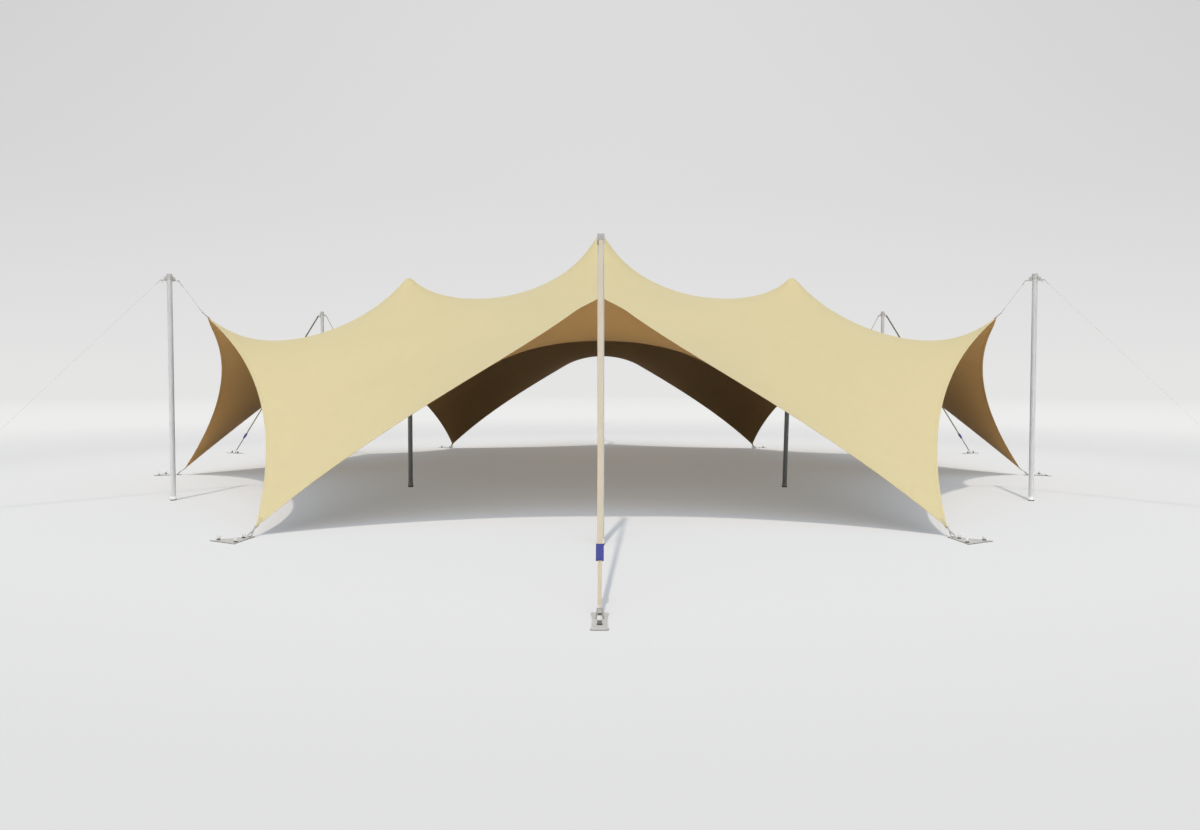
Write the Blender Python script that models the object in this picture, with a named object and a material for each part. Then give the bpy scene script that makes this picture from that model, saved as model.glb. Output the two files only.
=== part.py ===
"""Stretch tent on a regular hexagonal plan.

One tensioned sheet, cut here into panels: six legs that run down to the ground
corners and six bays that rise to the side tips. Six free-standing outer poles
carry the side tips, four inner poles push up the peaks, six guy straps and
twelve anchor plates hold it down. Metres, +Z up, front towards -Y, origin on
the ground under the centre pole.
"""
import bpy
import math
import numpy as np
from mathutils import Matrix, Vector

for ob in list(bpy.data.objects):
    bpy.data.objects.remove(ob, do_unlink=True)

# ---------------------------------------------------------------- dimensions
H = 3.0                      # height of an outer pole, and the unit of the layout
GAP = 0.0003                 # clearance between pieces that touch

# sheet
CORNER_R, CORNER_Z = 2.3545 * H, 0.033 * H      # ground corners of the sheet
TIP_R, TIP_Z = 2.0614 * H, 0.8311 * H          # raised tips at mid side
SHEET_T = 0.008                                 # modelled thickness of the sheet
NET = 32                                        # net divisions for the form finding
EDGE_Q = 12950.0                                # force density of the edge webbing
PEAK_QC, PEAK_QI, PEAK_EPS = 0.770, 1.305, 7e-6     # stiffening round the pole heads
TIP_Q, TIP_QR = 862.0, 0.476                    # and round the raised tips
LEG_Q, LEG_QR = 181.2, 0.5246                   # and round the ground corners
PEAK_C = 1.4075                                 # net height at the centre, in H
PEAK_I = 1.0712                                 # net height over the inner poles

# poles
TUBE_R = 0.033
POLE_R = 2.197 * H                              # outer poles' distance from the centre
CENTRE_HEAD = (-0.0074 * H, 0.0)                # the centre pole's head, a little off its foot
INNER_LEFT = (-0.955 * H, -0.584 * H)
INNER_RIGHT_FOOT = (0.9125 * H, -0.584 * H)     # this pole leans out a little
INNER_RIGHT_HEAD = (0.940 * H, -0.584 * H)
INNER_BACK = (0.0, 1.1176 * H)
DOME_R = 0.036

# head fittings of the outer poles
EAR_T, EAR_OUT = 0.010, 0.073
PIN_X, CROWN_X, SHACKLE_W, SHACKLE_ROD, SHACKLE_Z = 0.056, 0.110, 0.052, 0.005, 2.914

# straps
GUY_W, GUY_W_LOW, GUY_T = 0.040, 0.030, 0.004
TIP_STRAP_W, TIP_STRAP_T = 0.026, 0.003
COVER_L, COVER_W, COVER_T, COVER_AT = 0.135, 0.056, 0.024, 0.8915

# anchors
PLATE_T = 0.008
GUY_PLATE_L, GUY_PLATE_W, GUY_PLATE_WAIST, GUY_STAKE_X = 0.432, 0.121, 0.0105, 0.095
GUY_ANCHOR_R = {0: 9.459, 60: 9.420, -60: 9.420, 120: 9.330, -120: 9.330, 180: 9.400}
CORNER_BASE_R, CORNER_APEX_R, CORNER_HALF_W = 7.500, 7.115, 0.185
CORNER_SHIFT = {30: -0.025, -30: 0.025}         # the two front plates lie a little in
STAKE_R, STAKE_HEAD_R, STAKE_Z = 0.0148, 0.0185, 0.058

CORNER_NAMES = {30: "front_right", 90: "right", 150: "back_right",
                -150: "back_left", -90: "left", -30: "front_left"}
SIDE_NAMES = {0: "front", 60: "right_front", 120: "right_back",
              180: "back", -120: "left_back", -60: "left_front"}


def polar(r, deg, z=0.0):
    """Point at a distance and an angle, 0 at the front (-Y), positive to +X."""
    t = math.radians(deg)
    return np.array([r * math.sin(t), -r * math.cos(t), z])


# ---------------------------------------------------------------- materials
def material(name, rgb, rough, metal=0.0):
    m = bpy.data.materials.new(name)
    m.use_nodes = True
    b = m.node_tree.nodes["Principled BSDF"]
    b.inputs["Base Color"].default_value = (*rgb, 1.0)
    b.inputs["Roughness"].default_value = rough
    b.inputs["Metallic"].default_value = metal
    return m


def put(name, mesh, mat, loc=(0, 0, 0), rot_z=0.0):
    ob = bpy.data.objects.new(name, mesh)
    bpy.context.scene.collection.objects.link(ob)
    ob.location = loc
    ob.rotation_euler = (0, 0, rot_z)
    if not mesh.materials:
        mesh.materials.append(mat)
    return ob


def mesh_from(name, verts, faces, smooth=False):
    me = bpy.data.meshes.new(name)
    me.from_pydata([tuple(float(c) for c in v) for v in verts], [], faces)
    me.validate()
    me.update()
    if smooth:
        me.shade_smooth()
        me.set_sharp_from_angle(angle=math.radians(40))
    return me


# ---------------------------------------------------------------- the net
E1, E2 = polar(1, 30)[:2], polar(1, 150)[:2]
DIRS = ((1, 0), (1, 1), (0, 1), (-1, 0), (-1, -1), (0, -1))


def hex_net(n):
    """Triangular net on a hexagon; coordinates (a, b) along two 120 degree axes."""
    rc, idx = [], {}
    for a in range(-n, n + 1):
        for b in range(-n, n + 1):
            if abs(a - b) <= n:
                idx[(a, b)] = len(rc)
                rc.append((a, b))
    nb = np.array([[idx.get((a + da, b + db), -1) for da, db in DIRS] for a, b in rc])
    tris = []
    for i in range(len(rc)):
        for k in (0, 1):
            if nb[i, k] >= 0 and nb[i, k + 1] >= 0:
                tris.append((i, nb[i, k], nb[i, k + 1]))
    rc = np.array(rc)
    ring = np.maximum.reduce([abs(rc[:, 0]), abs(rc[:, 1]), abs(rc[:, 0] - rc[:, 1])])
    return rc, idx, nb, np.array(tris), ring


def form_find(n):
    """Equilibrium of the net: every knot rests where its links' pulls balance."""
    rc, idx, nb, tris, ring = hex_net(n)
    plan = (rc[:, :1] * E1 + rc[:, 1:] * E2) * CORNER_R / H / n

    def near(p):
        return int(np.argmin(((plan - np.asarray(p)[:2]) ** 2).sum(1)))

    fixed, corners, tips, heads = {}, [], [], []
    for k in range(6):
        corners.append(near(polar(CORNER_R / H, 30 + 60 * k)))
        fixed[corners[-1]] = polar(CORNER_R / H, 30 + 60 * k, CORNER_Z / H)
        tips.append(near(polar(CORNER_R / H * math.cos(math.radians(30)), 60 * k)))
        fixed[tips[-1]] = polar(TIP_R / H, 60 * k, TIP_Z / H)
    half = CORNER_R / H * math.cos(math.radians(30)) / 2
    for (x, y), z, g in ((CENTRE_HEAD, PEAK_C, (0, 0)),
                         (INNER_LEFT, PEAK_I, polar(half, -60)),
                         (INNER_RIGHT_HEAD, PEAK_I, polar(half, 60)),
                         (INNER_BACK, PEAK_I, polar(half, 180))):
        heads.append(near(g))
        fixed[heads[-1]] = np.array([x / H, y / H, z])

    link = np.array([(i, j) for i in range(len(rc)) for j in nb[i] if j > i])
    mid = (plan[link[:, 0]] + plan[link[:, 1]]) / 2
    q = np.ones(len(link))
    for k, i in enumerate(heads):
        d2 = ((mid - plan[i]) ** 2).sum(1)
        q += (PEAK_QI if k else PEAK_QC) / (d2 + PEAK_EPS)
    for i in tips:
        q += TIP_Q / (1 + ((mid - plan[i]) ** 2).sum(1) / TIP_QR ** 2)
    for i in corners:
        q += LEG_Q / (1 + ((mid - plan[i]) ** 2).sum(1) / LEG_QR ** 2)
    q[(ring[link[:, 0]] == n) & (ring[link[:, 1]] == n)] = EDGE_Q

    count = len(rc)
    x = np.zeros((count, 3))
    x[:, :2], x[:, 2] = plan, TIP_Z / H
    free = np.ones(count, bool)
    for i, v in fixed.items():
        x[i], free[i] = v, False
    i, j = link[:, 0], link[:, 1]
    diag = (np.bincount(i, q, count) + np.bincount(j, q, count))[:, None]

    def pull(v):
        d = (v[i] - v[j]) * q[:, None]
        return np.stack([np.bincount(i, d[:, c], count) - np.bincount(j, d[:, c], count)
                         for c in range(3)], 1)

    r = -pull(x)
    r[~free] = 0
    z = r / diag
    p, rz = z.copy(), (r * z).sum(0)
    for _ in range(3000):
        ap = pull(p)
        ap[~free] = 0
        al = rz / np.maximum((p * ap).sum(0), 1e-30)
        x += al * p
        r -= al * ap
        z = r / diag
        rz2 = (r * z).sum(0)
        if rz2.max() < 1e-16:
            break
        p = z + rz2 / np.maximum(rz, 1e-30) * p
        rz = rz2
    keep = set(corners) | set(tips)
    return x, rc, idx, nb, ring, keep


def smooth_limit(x, nb, ring, n, keep):
    """Points of the smooth surface that the net controls."""
    out = x.copy()
    inner = ring < n
    out[inner] = 0.5 * x[inner] + x[nb[inner]].sum(1) / 12.0
    for i in np.where(~inner)[0]:
        if i not in keep:
            m = [j for j in nb[i] if j >= 0 and ring[j] == n]
            out[i] = (x[m[0]] + 4 * x[i] + x[m[1]]) / 6.0
    return out


net_x, net_rc, net_idx, net_nb, net_ring, net_keep = form_find(NET)
surf = smooth_limit(net_x, net_nb, net_ring, NET, net_keep) * H

# every other knot makes the panels' mesh
N = NET // 2
rc, idx, nb, tris, ring = hex_net(N)
P = np.array([surf[net_idx[(2 * a, 2 * b)]] for a, b in rc])
face_n = np.cross(P[tris[:, 1]] - P[tris[:, 0]], P[tris[:, 2]] - P[tris[:, 0]])
vert_n = np.zeros_like(P)
for c in range(3):
    np.add.at(vert_n, tris[:, c], face_n)
vert_n /= np.linalg.norm(vert_n, axis=1)[:, None]


def panel_key(tri):
    """Leg of corner k, or bay of side k, that a triangle of the net belongs to."""
    a, b = rc[tri].mean(0)
    p = a * E1 + b * E2
    ang = math.degrees(math.atan2(p[0], -p[1]))
    side = 60 * round(ang / 60)                      # the 60 degree sector's middle
    u, v = polar(1, side - 30)[:2], polar(1, side + 30)[:2]
    i, j = np.linalg.solve(np.array([u, v]).T, p)    # steps towards its two corners
    if side == -180:
        side = 180
    if i > N / 2:
        c = side - 30
    elif j > N / 2:
        c = side + 30
    else:
        return ("bay", side)
    return ("leg", c - 360 if c > 180 else c)


panels = {}
for t in tris:
    panels.setdefault(panel_key(t), []).append(t)


def panel_mesh(name, faces):
    """Closed slab of one panel, drawn in by half a gap along its seams."""
    faces = np.array(faces)
    half = set()
    for t in faces:
        for k in range(3):
            half.add((t[k], t[(k + 1) % 3]))
    rim = {i: j for i, j in half if (j, i) not in half}
    back = {j: i for i, j in rim.items()}
    used = sorted(set(faces.ravel()))
    new = {v: k for k, v in enumerate(used)}
    pts = {v: P[v].copy() for v in used}
    for v, nxt in rim.items():
        prv, nrm = back[v], vert_n[v]
        rows, rhs = [nrm], [0.0]
        for s, e in ((prv, v), (v, nxt)):
            d = P[e] - P[s]
            d -= nrm * (d @ nrm)
            side = np.cross(nrm, d / np.linalg.norm(d))
            rows.append(side)
            rhs.append(0.0 if ring[s] == N and ring[e] == N else GAP / 2)
        pts[v] += np.linalg.lstsq(np.array(rows), np.array(rhs), rcond=0.05)[0]
    top = [pts[v] + vert_n[v] * SHEET_T / 2 for v in used]
    bot = [pts[v] - vert_n[v] * SHEET_T / 2 for v in used]
    m = len(used)
    fs = [tuple(new[v] for v in t) for t in faces]
    fs += [tuple(new[v] + m for v in reversed(t)) for t in faces]
    for i, j in rim.items():
        a, b = new[i], new[j]
        if i < j:                       # the same diagonal on both sides of a seam
            fs += [(b, a, b + m), (a, a + m, b + m)]
        else:
            fs += [(b, a, a + m), (b, a + m, b + m)]
    return mesh_from(name, top + bot, fs)


sheet_mat = material("sheet_cream", (0.73, 0.64, 0.38), 0.75)
pole_mat = material("pole_aluminium", (0.62, 0.62, 0.63), 0.38, 0.9)
inner_mat = material("inner_pole_aluminium", (0.30, 0.33, 0.33), 0.42, 0.9)
web_mat = material("webbing_cream", (0.72, 0.62, 0.47), 0.8)
blue_mat = material("ratchet_blue", (0.06, 0.07, 0.36), 0.7)
steel_mat = material("anchor_steel", (0.55, 0.56, 0.56), 0.45, 0.9)

for (kind, deg), faces in sorted(panels.items()):
    names = CORNER_NAMES if kind == "leg" else SIDE_NAMES
    name = "canopy_%s_%s" % (kind, names[deg])
    put(name, panel_mesh(name, faces), sheet_mat)


def underside(x, y):
    """Height of the sheet's lower face over a point on the ground."""
    low = P - vert_n * SHEET_T / 2
    best = None
    for t in tris:
        a, b, c = low[t]
        m = np.array([b[:2] - a[:2], c[:2] - a[:2]]).T
        if abs(np.linalg.det(m)) < 1e-12:
            continue
        u, v = np.linalg.solve(m, np.array([x, y]) - a[:2])
        if u > -1e-6 and v > -1e-6 and u + v < 1 + 1e-6:
            z = a[2] + u * (b[2] - a[2]) + v * (c[2] - a[2])
            best = z if best is None else min(best, z)
    return best


# ---------------------------------------------------------------- turned pieces
def turned(profile, sides):
    """Closed solid turned about Z; the profile runs from the bottom up."""
    verts, faces = [], []
    for r, z in profile:
        for k in range(sides):
            t = 2 * math.pi * (k + 0.5) / sides
            verts.append((r * math.cos(t), r * math.sin(t), z))
    for s in range(len(profile) - 1):
        for k in range(sides):
            a, b = s * sides + k, s * sides + (k + 1) % sides
            faces.append((a, b, b + sides, a + sides))
    faces.append(tuple(reversed(range(sides))))
    last = (len(profile) - 1) * sides
    faces.append(tuple(last + k for k in range(sides)))
    return verts, faces


def prism(outline, z0, z1):
    """Closed prism over an outline given counter-clockwise."""
    m = len(outline)
    verts = [(x, y, z0) for x, y in outline] + [(x, y, z1) for x, y in outline]
    faces = [tuple(reversed(range(m))), tuple(range(m, 2 * m))]
    faces += [(i, (i + 1) % m, (i + 1) % m + m, i + m) for i in range(m)]
    return verts, faces


def loop_tube(path, rod, sides=6):
    """Closed ring of round rod along a closed path of points."""
    pts = [Vector(p) for p in path]
    m = len(pts)
    nrm = Vector((0, 0, 0))
    for k in range(m):
        nrm += (pts[k] - pts[0]).cross(pts[(k + 1) % m] - pts[0])
    nrm.normalize()
    verts, faces = [], []
    for k in range(m):
        d1 = (pts[k] - pts[k - 1]).normalized()
        d2 = (pts[(k + 1) % m] - pts[k]).normalized()
        t = (d1 + d2).normalized()
        side = nrm.cross(t)
        stretch = 1.0 / max(0.5, math.cos(d1.angle(d2) / 2))
        for s in range(sides):
            a = 2 * math.pi * (s + 0.5) / sides
            verts.append(pts[k] + side * (rod * math.cos(a) * stretch) + nrm * (rod * math.sin(a)))
    for k in range(m):
        n2 = (k + 1) % m
        for s in range(sides):
            s2 = (s + 1) % sides
            faces.append((k * sides + s, k * sides + s2, n2 * sides + s2, n2 * sides + s))
    return verts, [tuple(reversed(f)) for f in faces]


def outward(me):
    """Turn a closed mesh's faces out if its volume came out negative."""
    vol = 0.0
    for p in me.polygons:
        v = [me.vertices[i].co for i in p.vertices]
        for k in range(1, len(v) - 1):
            vol += v[0].dot(v[k].cross(v[k + 1]))
    if vol < 0:
        me.flip_normals()
    return me


def fused(name, shapes):
    """Union of closed shapes, as one mesh."""
    tools = []
    base = None
    for k, (v, f) in enumerate(shapes):
        me = outward(mesh_from("%s_%d" % (name, k), v, f))
        ob = bpy.data.objects.new("%s_tool_%d" % (name, k), me)
        bpy.context.scene.collection.objects.link(ob)
        ob.hide_render = True
        ob.display_type = 'WIRE'
        if base is None:
            base = ob
        else:
            mod = base.modifiers.new("join_%d" % k, 'BOOLEAN')
            mod.operation = 'UNION'
            mod.solver = 'EXACT'
            mod.object = ob
        tools.append(ob)
    bpy.context.view_layer.update()
    dg = bpy.context.evaluated_depsgraph_get()
    me = bpy.data.meshes.new_from_object(base.evaluated_get(dg))
    me.name = name
    for ob in tools:
        bpy.data.objects.remove(ob, do_unlink=True)
    me.materials.clear()
    me.shade_smooth()
    me.set_sharp_from_angle(angle=math.radians(35))
    return me


FOOT = [(0.0402, 0.0), (0.0402, 0.009), (0.039, 0.0105), (0.039, 0.055), (TUBE_R, 0.061)]

# outer pole: tube, cap, two ears across the head and a shackle on each
cap = [(TUBE_R, H - 0.078), (0.035, H - 0.075), (0.035, H - 0.008), (0.029, H)]
ear = [(-EAR_OUT, -0.090), (-EAR_OUT + 0.004, -0.095), (EAR_OUT - 0.004, -0.095), (EAR_OUT, -0.090),
       (EAR_OUT, -0.062), (0.068, -0.047), (0.056, -0.036), (0.028, -0.028), (-0.028, -0.028), (-0.056, -0.036),
       (-0.068, -0.047), (-EAR_OUT, -0.062)]
ear_v = [(x, -EAR_T / 2, H + z) for x, z in ear] + [(x, EAR_T / 2, H + z) for x, z in ear]
m = len(ear)
ear_f = [tuple(range(m)), tuple(reversed(range(m, 2 * m)))]
ear_f += [((i + 1) % m, i, i + m, (i + 1) % m + m) for i in range(m)]


def shackle(sign):
    w, r = SHACKLE_W / 2, 0.010
    out = [(PIN_X, w), (CROWN_X - r, w), (CROWN_X - 0.3 * r, w - 0.3 * r), (CROWN_X, w - r),
           (CROWN_X, r - w), (CROWN_X - 0.3 * r, 0.3 * r - w), (CROWN_X - r, -w), (PIN_X, -w)]
    return loop_tube([(sign * x, y, SHACKLE_Z) for x, y in out], SHACKLE_ROD)


outer_mesh = fused("outer_pole", [turned(FOOT + cap, 16), (ear_v, ear_f), shackle(1), shackle(-1)])
for deg, nm in SIDE_NAMES.items():
    # local +X points away from the tent
    put("pole_" + nm, outer_mesh, pole_mat, polar(POLE_R, deg), math.radians(deg - 90))


def dome(z_top, steps=4):
    """Rounded head that ends at z_top, above a tube."""
    base = z_top - DOME_R
    out = [(TUBE_R, base - 0.014), (DOME_R, base - 0.010)]
    for k in range(steps):
        a = math.radians(90) * k / steps
        out.append((DOME_R * math.cos(a), base + DOME_R * math.sin(a)))
    out.append((0.004, z_top))
    return out


def head_height(x, y):
    """Highest dome that stays clear under the sheet at this place."""
    top = 99.0
    for k in range(9):
        rho = DOME_R * k / 8
        drop = DOME_R - math.sqrt(max(DOME_R ** 2 - rho ** 2, 0.0))
        for s in range(12):
            a = 2 * math.pi * s / 12
            top = min(top, underside(x + rho * math.cos(a), y + rho * math.sin(a)) + drop)
    return top - 0.0015


def inner_pole(name, foot, head):
    top = head_height(*head)
    v, f = turned(FOOT + dome(top), 16)
    v = [(x + (head[0] - foot[0]) * z / top, y + (head[1] - foot[1]) * z / top, z) for x, y, z in v]
    put(name, outward(mesh_from(name, v, f, True)), inner_mat, (foot[0], foot[1], 0))


inner_pole("pole_centre", (0, 0), CENTRE_HEAD)
inner_pole("pole_inner_left", INNER_LEFT, INNER_LEFT)
inner_pole("pole_inner_right", INNER_RIGHT_FOOT, INNER_RIGHT_HEAD)
inner_pole("pole_inner_back", INNER_BACK, INNER_BACK)

# ---------------------------------------------------------------- anchors
STAKE = [(STAKE_R, 0.002), (STAKE_R, 0.034), (STAKE_HEAD_R, 0.0355),
         (STAKE_HEAD_R, 0.053), (0.010, STAKE_Z)]


def stake(x, y, sides=8):
    v, f = turned(STAKE, sides)
    return [(a + x, b + y, c) for a, b, c in v], f


def trapezoid_ring(base, apex, base_w, apex_w, rod):
    """Ring that stands on its base bar and narrows to its apex bar, in local X and Z."""
    b, a = Vector((base[0], 0, base[1])), Vector((apex[0], 0, apex[1]))
    up = (a - b).normalized()
    y = Vector((0, 1, 0))
    c = rod * 1.6
    pts = [b + y * (base_w - c), b + y * base_w + up * c,
           a + y * apex_w - up * c, a + y * (apex_w - c),
           a - y * (apex_w - c), a - y * apex_w - up * c,
           b - y * base_w + up * c, b - y * (base_w - c)]
    return loop_tube(pts, rod)


# guy anchor: local +X points away from the tent, origin at the plate's middle
half_l, half_w = GUY_PLATE_L / 2, GUY_PLATE_W / 2
outline, steps = [], 8
for k in range(steps + 1):
    s = -1 + 2 * k / steps
    outline.append((s * (half_l - 0.016), -(half_w - GUY_PLATE_WAIST * (1 - s * s))))
outline += [(half_l - 0.005, -half_w + 0.005), (half_l, -half_w + 0.016),
            (half_l, half_w - 0.016), (half_l - 0.005, half_w - 0.005)]
for k in range(steps + 1):
    s = 1 - 2 * k / steps
    outline.append((s * (half_l - 0.016), half_w - GUY_PLATE_WAIST * (1 - s * s)))
outline += [(-half_l + 0.005, half_w - 0.005), (-half_l, half_w - 0.016),
            (-half_l, -half_w + 0.016), (-half_l + 0.005, -half_w + 0.005)]
RING_APEX = (-0.060, 0.085)
clip = prism([(-0.042, -0.016), (-0.018, -0.016), (-0.018, 0.016), (-0.042, 0.016)], 0.004, 0.022)
guy_mesh = fused("guy_anchor", [prism(outline, 0.0, PLATE_T), stake(GUY_STAKE_X, 0), stake(-GUY_STAKE_X, 0),
                                clip, trapezoid_ring((-0.030, 0.0145), RING_APEX, 0.028, 0.0205, 0.005)])
for deg, nm in SIDE_NAMES.items():
    put("guy_anchor_" + nm, guy_mesh, steel_mat, polar(GUY_ANCHOR_R[deg], deg), math.radians(deg - 90))

# corner anchor: local +X points away from the tent, origin on the tent's axis
b_r, a_r, h_w = CORNER_BASE_R, CORNER_APEX_R, CORNER_HALF_W
tri = [(a_r, -0.012), (a_r + 0.008, -0.026)]
for k in range(1, 6):
    s = k / 6
    tri.append((a_r + 0.008 + s * (b_r - 0.024 - a_r), -(0.026 + s * (h_w - 0.032) - 0.030 * s * (1 - s))))
tri += [(b_r - 0.016, -h_w), (b_r - 0.004, -h_w + 0.006), (b_r, -h_w + 0.018)]
for k in range(1, 4):
    tri.append((b_r - 0.006 * math.sin(math.pi * k / 4), (-1 + k / 2) * (h_w - 0.018)))
tri += [(x, -y) for x, y in reversed(tri[:10])]
LINK_TOP, LINK_LOW = (CORNER_R + 0.0075, CORNER_Z - 0.0050), (7.139, 0.046)
corner_ring = trapezoid_ring((7.176, 0.0145), (7.139, 0.050), 0.028, 0.017, 0.005)
c_clip = prism([(7.164, -0.013), (7.188, -0.013), (7.188, 0.013), (7.164, 0.013)], 0.004, 0.022)


def ribbon(p0, p1, w0, w1, t, y_axis=(0, 1, 0), cuts=()):
    """Flat bar from p0 to p1; cuts are (fraction, half width) sections in between."""
    p0, p1, y = Vector(p0), Vector(p1), Vector(y_axis)
    d = (p1 - p0).normalized()
    n = d.cross(y).normalized()
    verts, faces = [], []
    for s, w in [(0, w0)] + list(cuts) + [(1, w1)]:
        c = p0.lerp(p1, s)
        for a, b in ((-1, -1), (1, -1), (1, 1), (-1, 1)):
            verts.append(c + y * (a * w) + n * (b * t / 2))
    rings = len(verts) // 4
    for k in range(rings - 1):
        for s in range(4):
            a, b = 4 * k + s, 4 * k + (s + 1) % 4
            faces.append((a, b, b + 4, a + 4))
    faces += [(3, 2, 1, 0), tuple(4 * (rings - 1) + s for s in range(4))]
    return verts, faces


corner_meshes = {}
for deg, nm in CORNER_NAMES.items():
    shift = CORNER_SHIFT.get(deg, 0.0)              # sideways, so the link runs back to the sheet's corner
    if shift not in corner_meshes:
        link = ribbon((LINK_LOW[0], 0, LINK_LOW[1]), (LINK_TOP[0], -shift, LINK_TOP[1]), 0.012, 0.012, 0.004)
        corner_meshes[shift] = fused("corner_anchor_%d" % len(corner_meshes), [
            prism(tri, 0.0, PLATE_T), stake(7.435, -0.127), stake(7.435, 0.127), stake(7.240, 0.0),
            c_clip, corner_ring, link])
    t = math.radians(deg)
    put("corner_anchor_" + nm, corner_meshes[shift], steel_mat,
        (shift * math.cos(t), shift * math.sin(t), 0), math.radians(deg - 90))

# ---------------------------------------------------------------- straps
for deg, nm in SIDE_NAMES.items():
    rot = math.radians(deg - 90)
    a = Vector((POLE_R + CROWN_X, 0, SHACKLE_Z))
    b = Vector((GUY_ANCHOR_R[deg] + RING_APEX[0], 0, RING_APEX[1]))
    d = (b - a).normalized()
    p0, p1 = a + d * (SHACKLE_ROD + 0.0006), b - d * (0.005 + 0.0006)
    v, f = ribbon(p0, p1, GUY_W / 2, GUY_W_LOW / 2, GUY_T,
                  cuts=((COVER_AT, GUY_W / 2), (COVER_AT + 0.004, GUY_W_LOW / 2)))
    put("guy_strap_" + nm, outward(mesh_from("guy_strap_" + nm, v, f)), web_mat, (0, 0, 0), rot)

    # ratchet cover: a flat sleeve round the strap
    mid = p0.lerp(p1, COVER_AT)
    n = d.cross(Vector((0, 1, 0))).normalized()
    ow, ot, iw, it, ch = COVER_W / 2, COVER_T / 2, GUY_W / 2 + 0.0005, GUY_T / 2 + 0.0005, 0.005
    outer = [(-ow + ch, -ot), (ow - ch, -ot), (ow, -ot + ch), (ow, ot - ch),
             (ow - ch, ot), (-ow + ch, ot), (-ow, ot - ch), (-ow, -ot + ch)]
    k4 = 0.0006
    inner = [(-iw + k4, -it), (iw - k4, -it), (iw, -it + k4), (iw, it - k4),
             (iw - k4, it), (-iw + k4, it), (-iw, it - k4), (-iw, -it + k4)]
    verts, faces = [], []
    for end in (-1, 1):
        c = mid + d * (end * COVER_L / 2)
        for y, t in outer + inner:
            verts.append(c + Vector((0, 1, 0)) * y + n * t)
    for k in range(8):
        k2 = (k + 1) % 8
        faces += [(k, k2, k2 + 16, k + 16), (k2 + 8, k + 8, k + 24, k2 + 24),
                  (k2, k, k + 8, k2 + 8), (k + 16, k2 + 16, k2 + 24, k + 24)]
    put("ratchet_cover_" + nm, outward(mesh_from("ratchet_cover_" + nm, verts, faces)), blue_mat, (0, 0, 0), rot)

    # tip strap, from the inner shackle down to the sheet's tip
    a = Vector((POLE_R - CROWN_X, 0, SHACKLE_Z))
    b = Vector((TIP_R, 0, TIP_Z))
    d = (b - a).normalized()
    v, f = ribbon(a + d * (SHACKLE_ROD + 0.0006), b - d * 0.010, TIP_STRAP_W / 2, TIP_STRAP_W / 2, TIP_STRAP_T)
    put("tip_strap_" + nm, outward(mesh_from("tip_strap_" + nm, v, f)), web_mat, (0, 0, 0), rot)
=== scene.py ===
"""Looks of the stretch tent: the sheet as one continuous curved surface, its hems
and patches, the poles with their head fittings, the webbing, the ratchet covers
and the ground anchors. Metres, +Z up, front towards -Y."""

import math

import bmesh
import bpy
import numpy as np
from mathutils import Matrix, Vector


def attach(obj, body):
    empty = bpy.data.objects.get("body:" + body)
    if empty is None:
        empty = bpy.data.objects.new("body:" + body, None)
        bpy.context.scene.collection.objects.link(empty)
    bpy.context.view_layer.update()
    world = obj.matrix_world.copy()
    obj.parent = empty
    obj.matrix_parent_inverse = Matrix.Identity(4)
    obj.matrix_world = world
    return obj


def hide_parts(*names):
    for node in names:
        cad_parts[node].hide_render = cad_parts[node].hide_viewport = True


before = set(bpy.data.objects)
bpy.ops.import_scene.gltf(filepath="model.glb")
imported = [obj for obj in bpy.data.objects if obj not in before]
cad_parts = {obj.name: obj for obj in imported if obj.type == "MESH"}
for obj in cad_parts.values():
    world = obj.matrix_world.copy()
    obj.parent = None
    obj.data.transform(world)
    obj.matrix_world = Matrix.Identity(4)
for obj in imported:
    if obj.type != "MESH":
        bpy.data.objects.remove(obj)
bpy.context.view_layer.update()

# ------------------------------------------------------------------ layout
H = 3.0
CORNER_R, CORNER_Z = 2.3545 * H, 0.033 * H
TIP_R, TIP_Z = 2.0614 * H, 0.8311 * H
NET = 32
EDGE_Q = 12950.0
PEAK_QC, PEAK_QI, PEAK_EPS = 0.770, 1.305, 7e-6
TIP_Q, TIP_QR = 862.0, 0.476
LEG_Q, LEG_QR = 181.2, 0.5246
PEAK_C, PEAK_I = 1.4075, 1.0712
SKIN = 0.0024                       # distance between the cream and the brown face
TIP_DRAWN, TIP_REACH, TIP_SLIM = 0.066, 0.36, 0.85      # how far the cloth stops short of a side tip's pin

TUBE_R = 0.033
POLE_R = 2.197 * H
CENTRE_HEAD = (-0.0074 * H, 0.0)
INNER_LEFT = (-0.955 * H, -0.584 * H)
INNER_RIGHT_FOOT = (0.9125 * H, -0.584 * H)
INNER_RIGHT_HEAD = (0.940 * H, -0.584 * H)
INNER_BACK = (0.0, 1.1176 * H)
DOME_R = 0.036
CROWN_X, SHACKLE_Z = 0.110, 2.914
GUY_W, GUY_W_LOW, GUY_T = 0.040, 0.030, 0.0014
COVER_L, COVER_W, COVER_T, COVER_AT = 0.135, 0.056, 0.024, 0.8884
PLATE_T = 0.008
GUY_PLATE_L, GUY_PLATE_W, GUY_PLATE_WAIST, GUY_STAKE_X = 0.432, 0.121, 0.0105, 0.095
GUY_ANCHOR_R = {0: 9.459, 60: 9.420, -60: 9.420, 120: 9.330, -120: 9.330, 180: 9.400}
CORNER_BASE_R, CORNER_APEX_R, CORNER_HALF_W = 7.500, 7.115, 0.185
CORNER_SHIFT = {30: -0.025, -30: 0.025}         # the two front plates lie a little in
RING_APEX = (-0.058, 0.077)
CORNER_NAMES = {30: "front_right", 90: "right", 150: "back_right",
                -150: "back_left", -90: "left", -30: "front_left"}
SIDE_NAMES = {0: "front", 60: "right_front", 120: "right_back",
              180: "back", -120: "left_back", -60: "left_front"}


def polar(r, deg, z=0.0):
    t = math.radians(deg)
    return np.array([r * math.sin(t), -r * math.cos(t), z])


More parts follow.
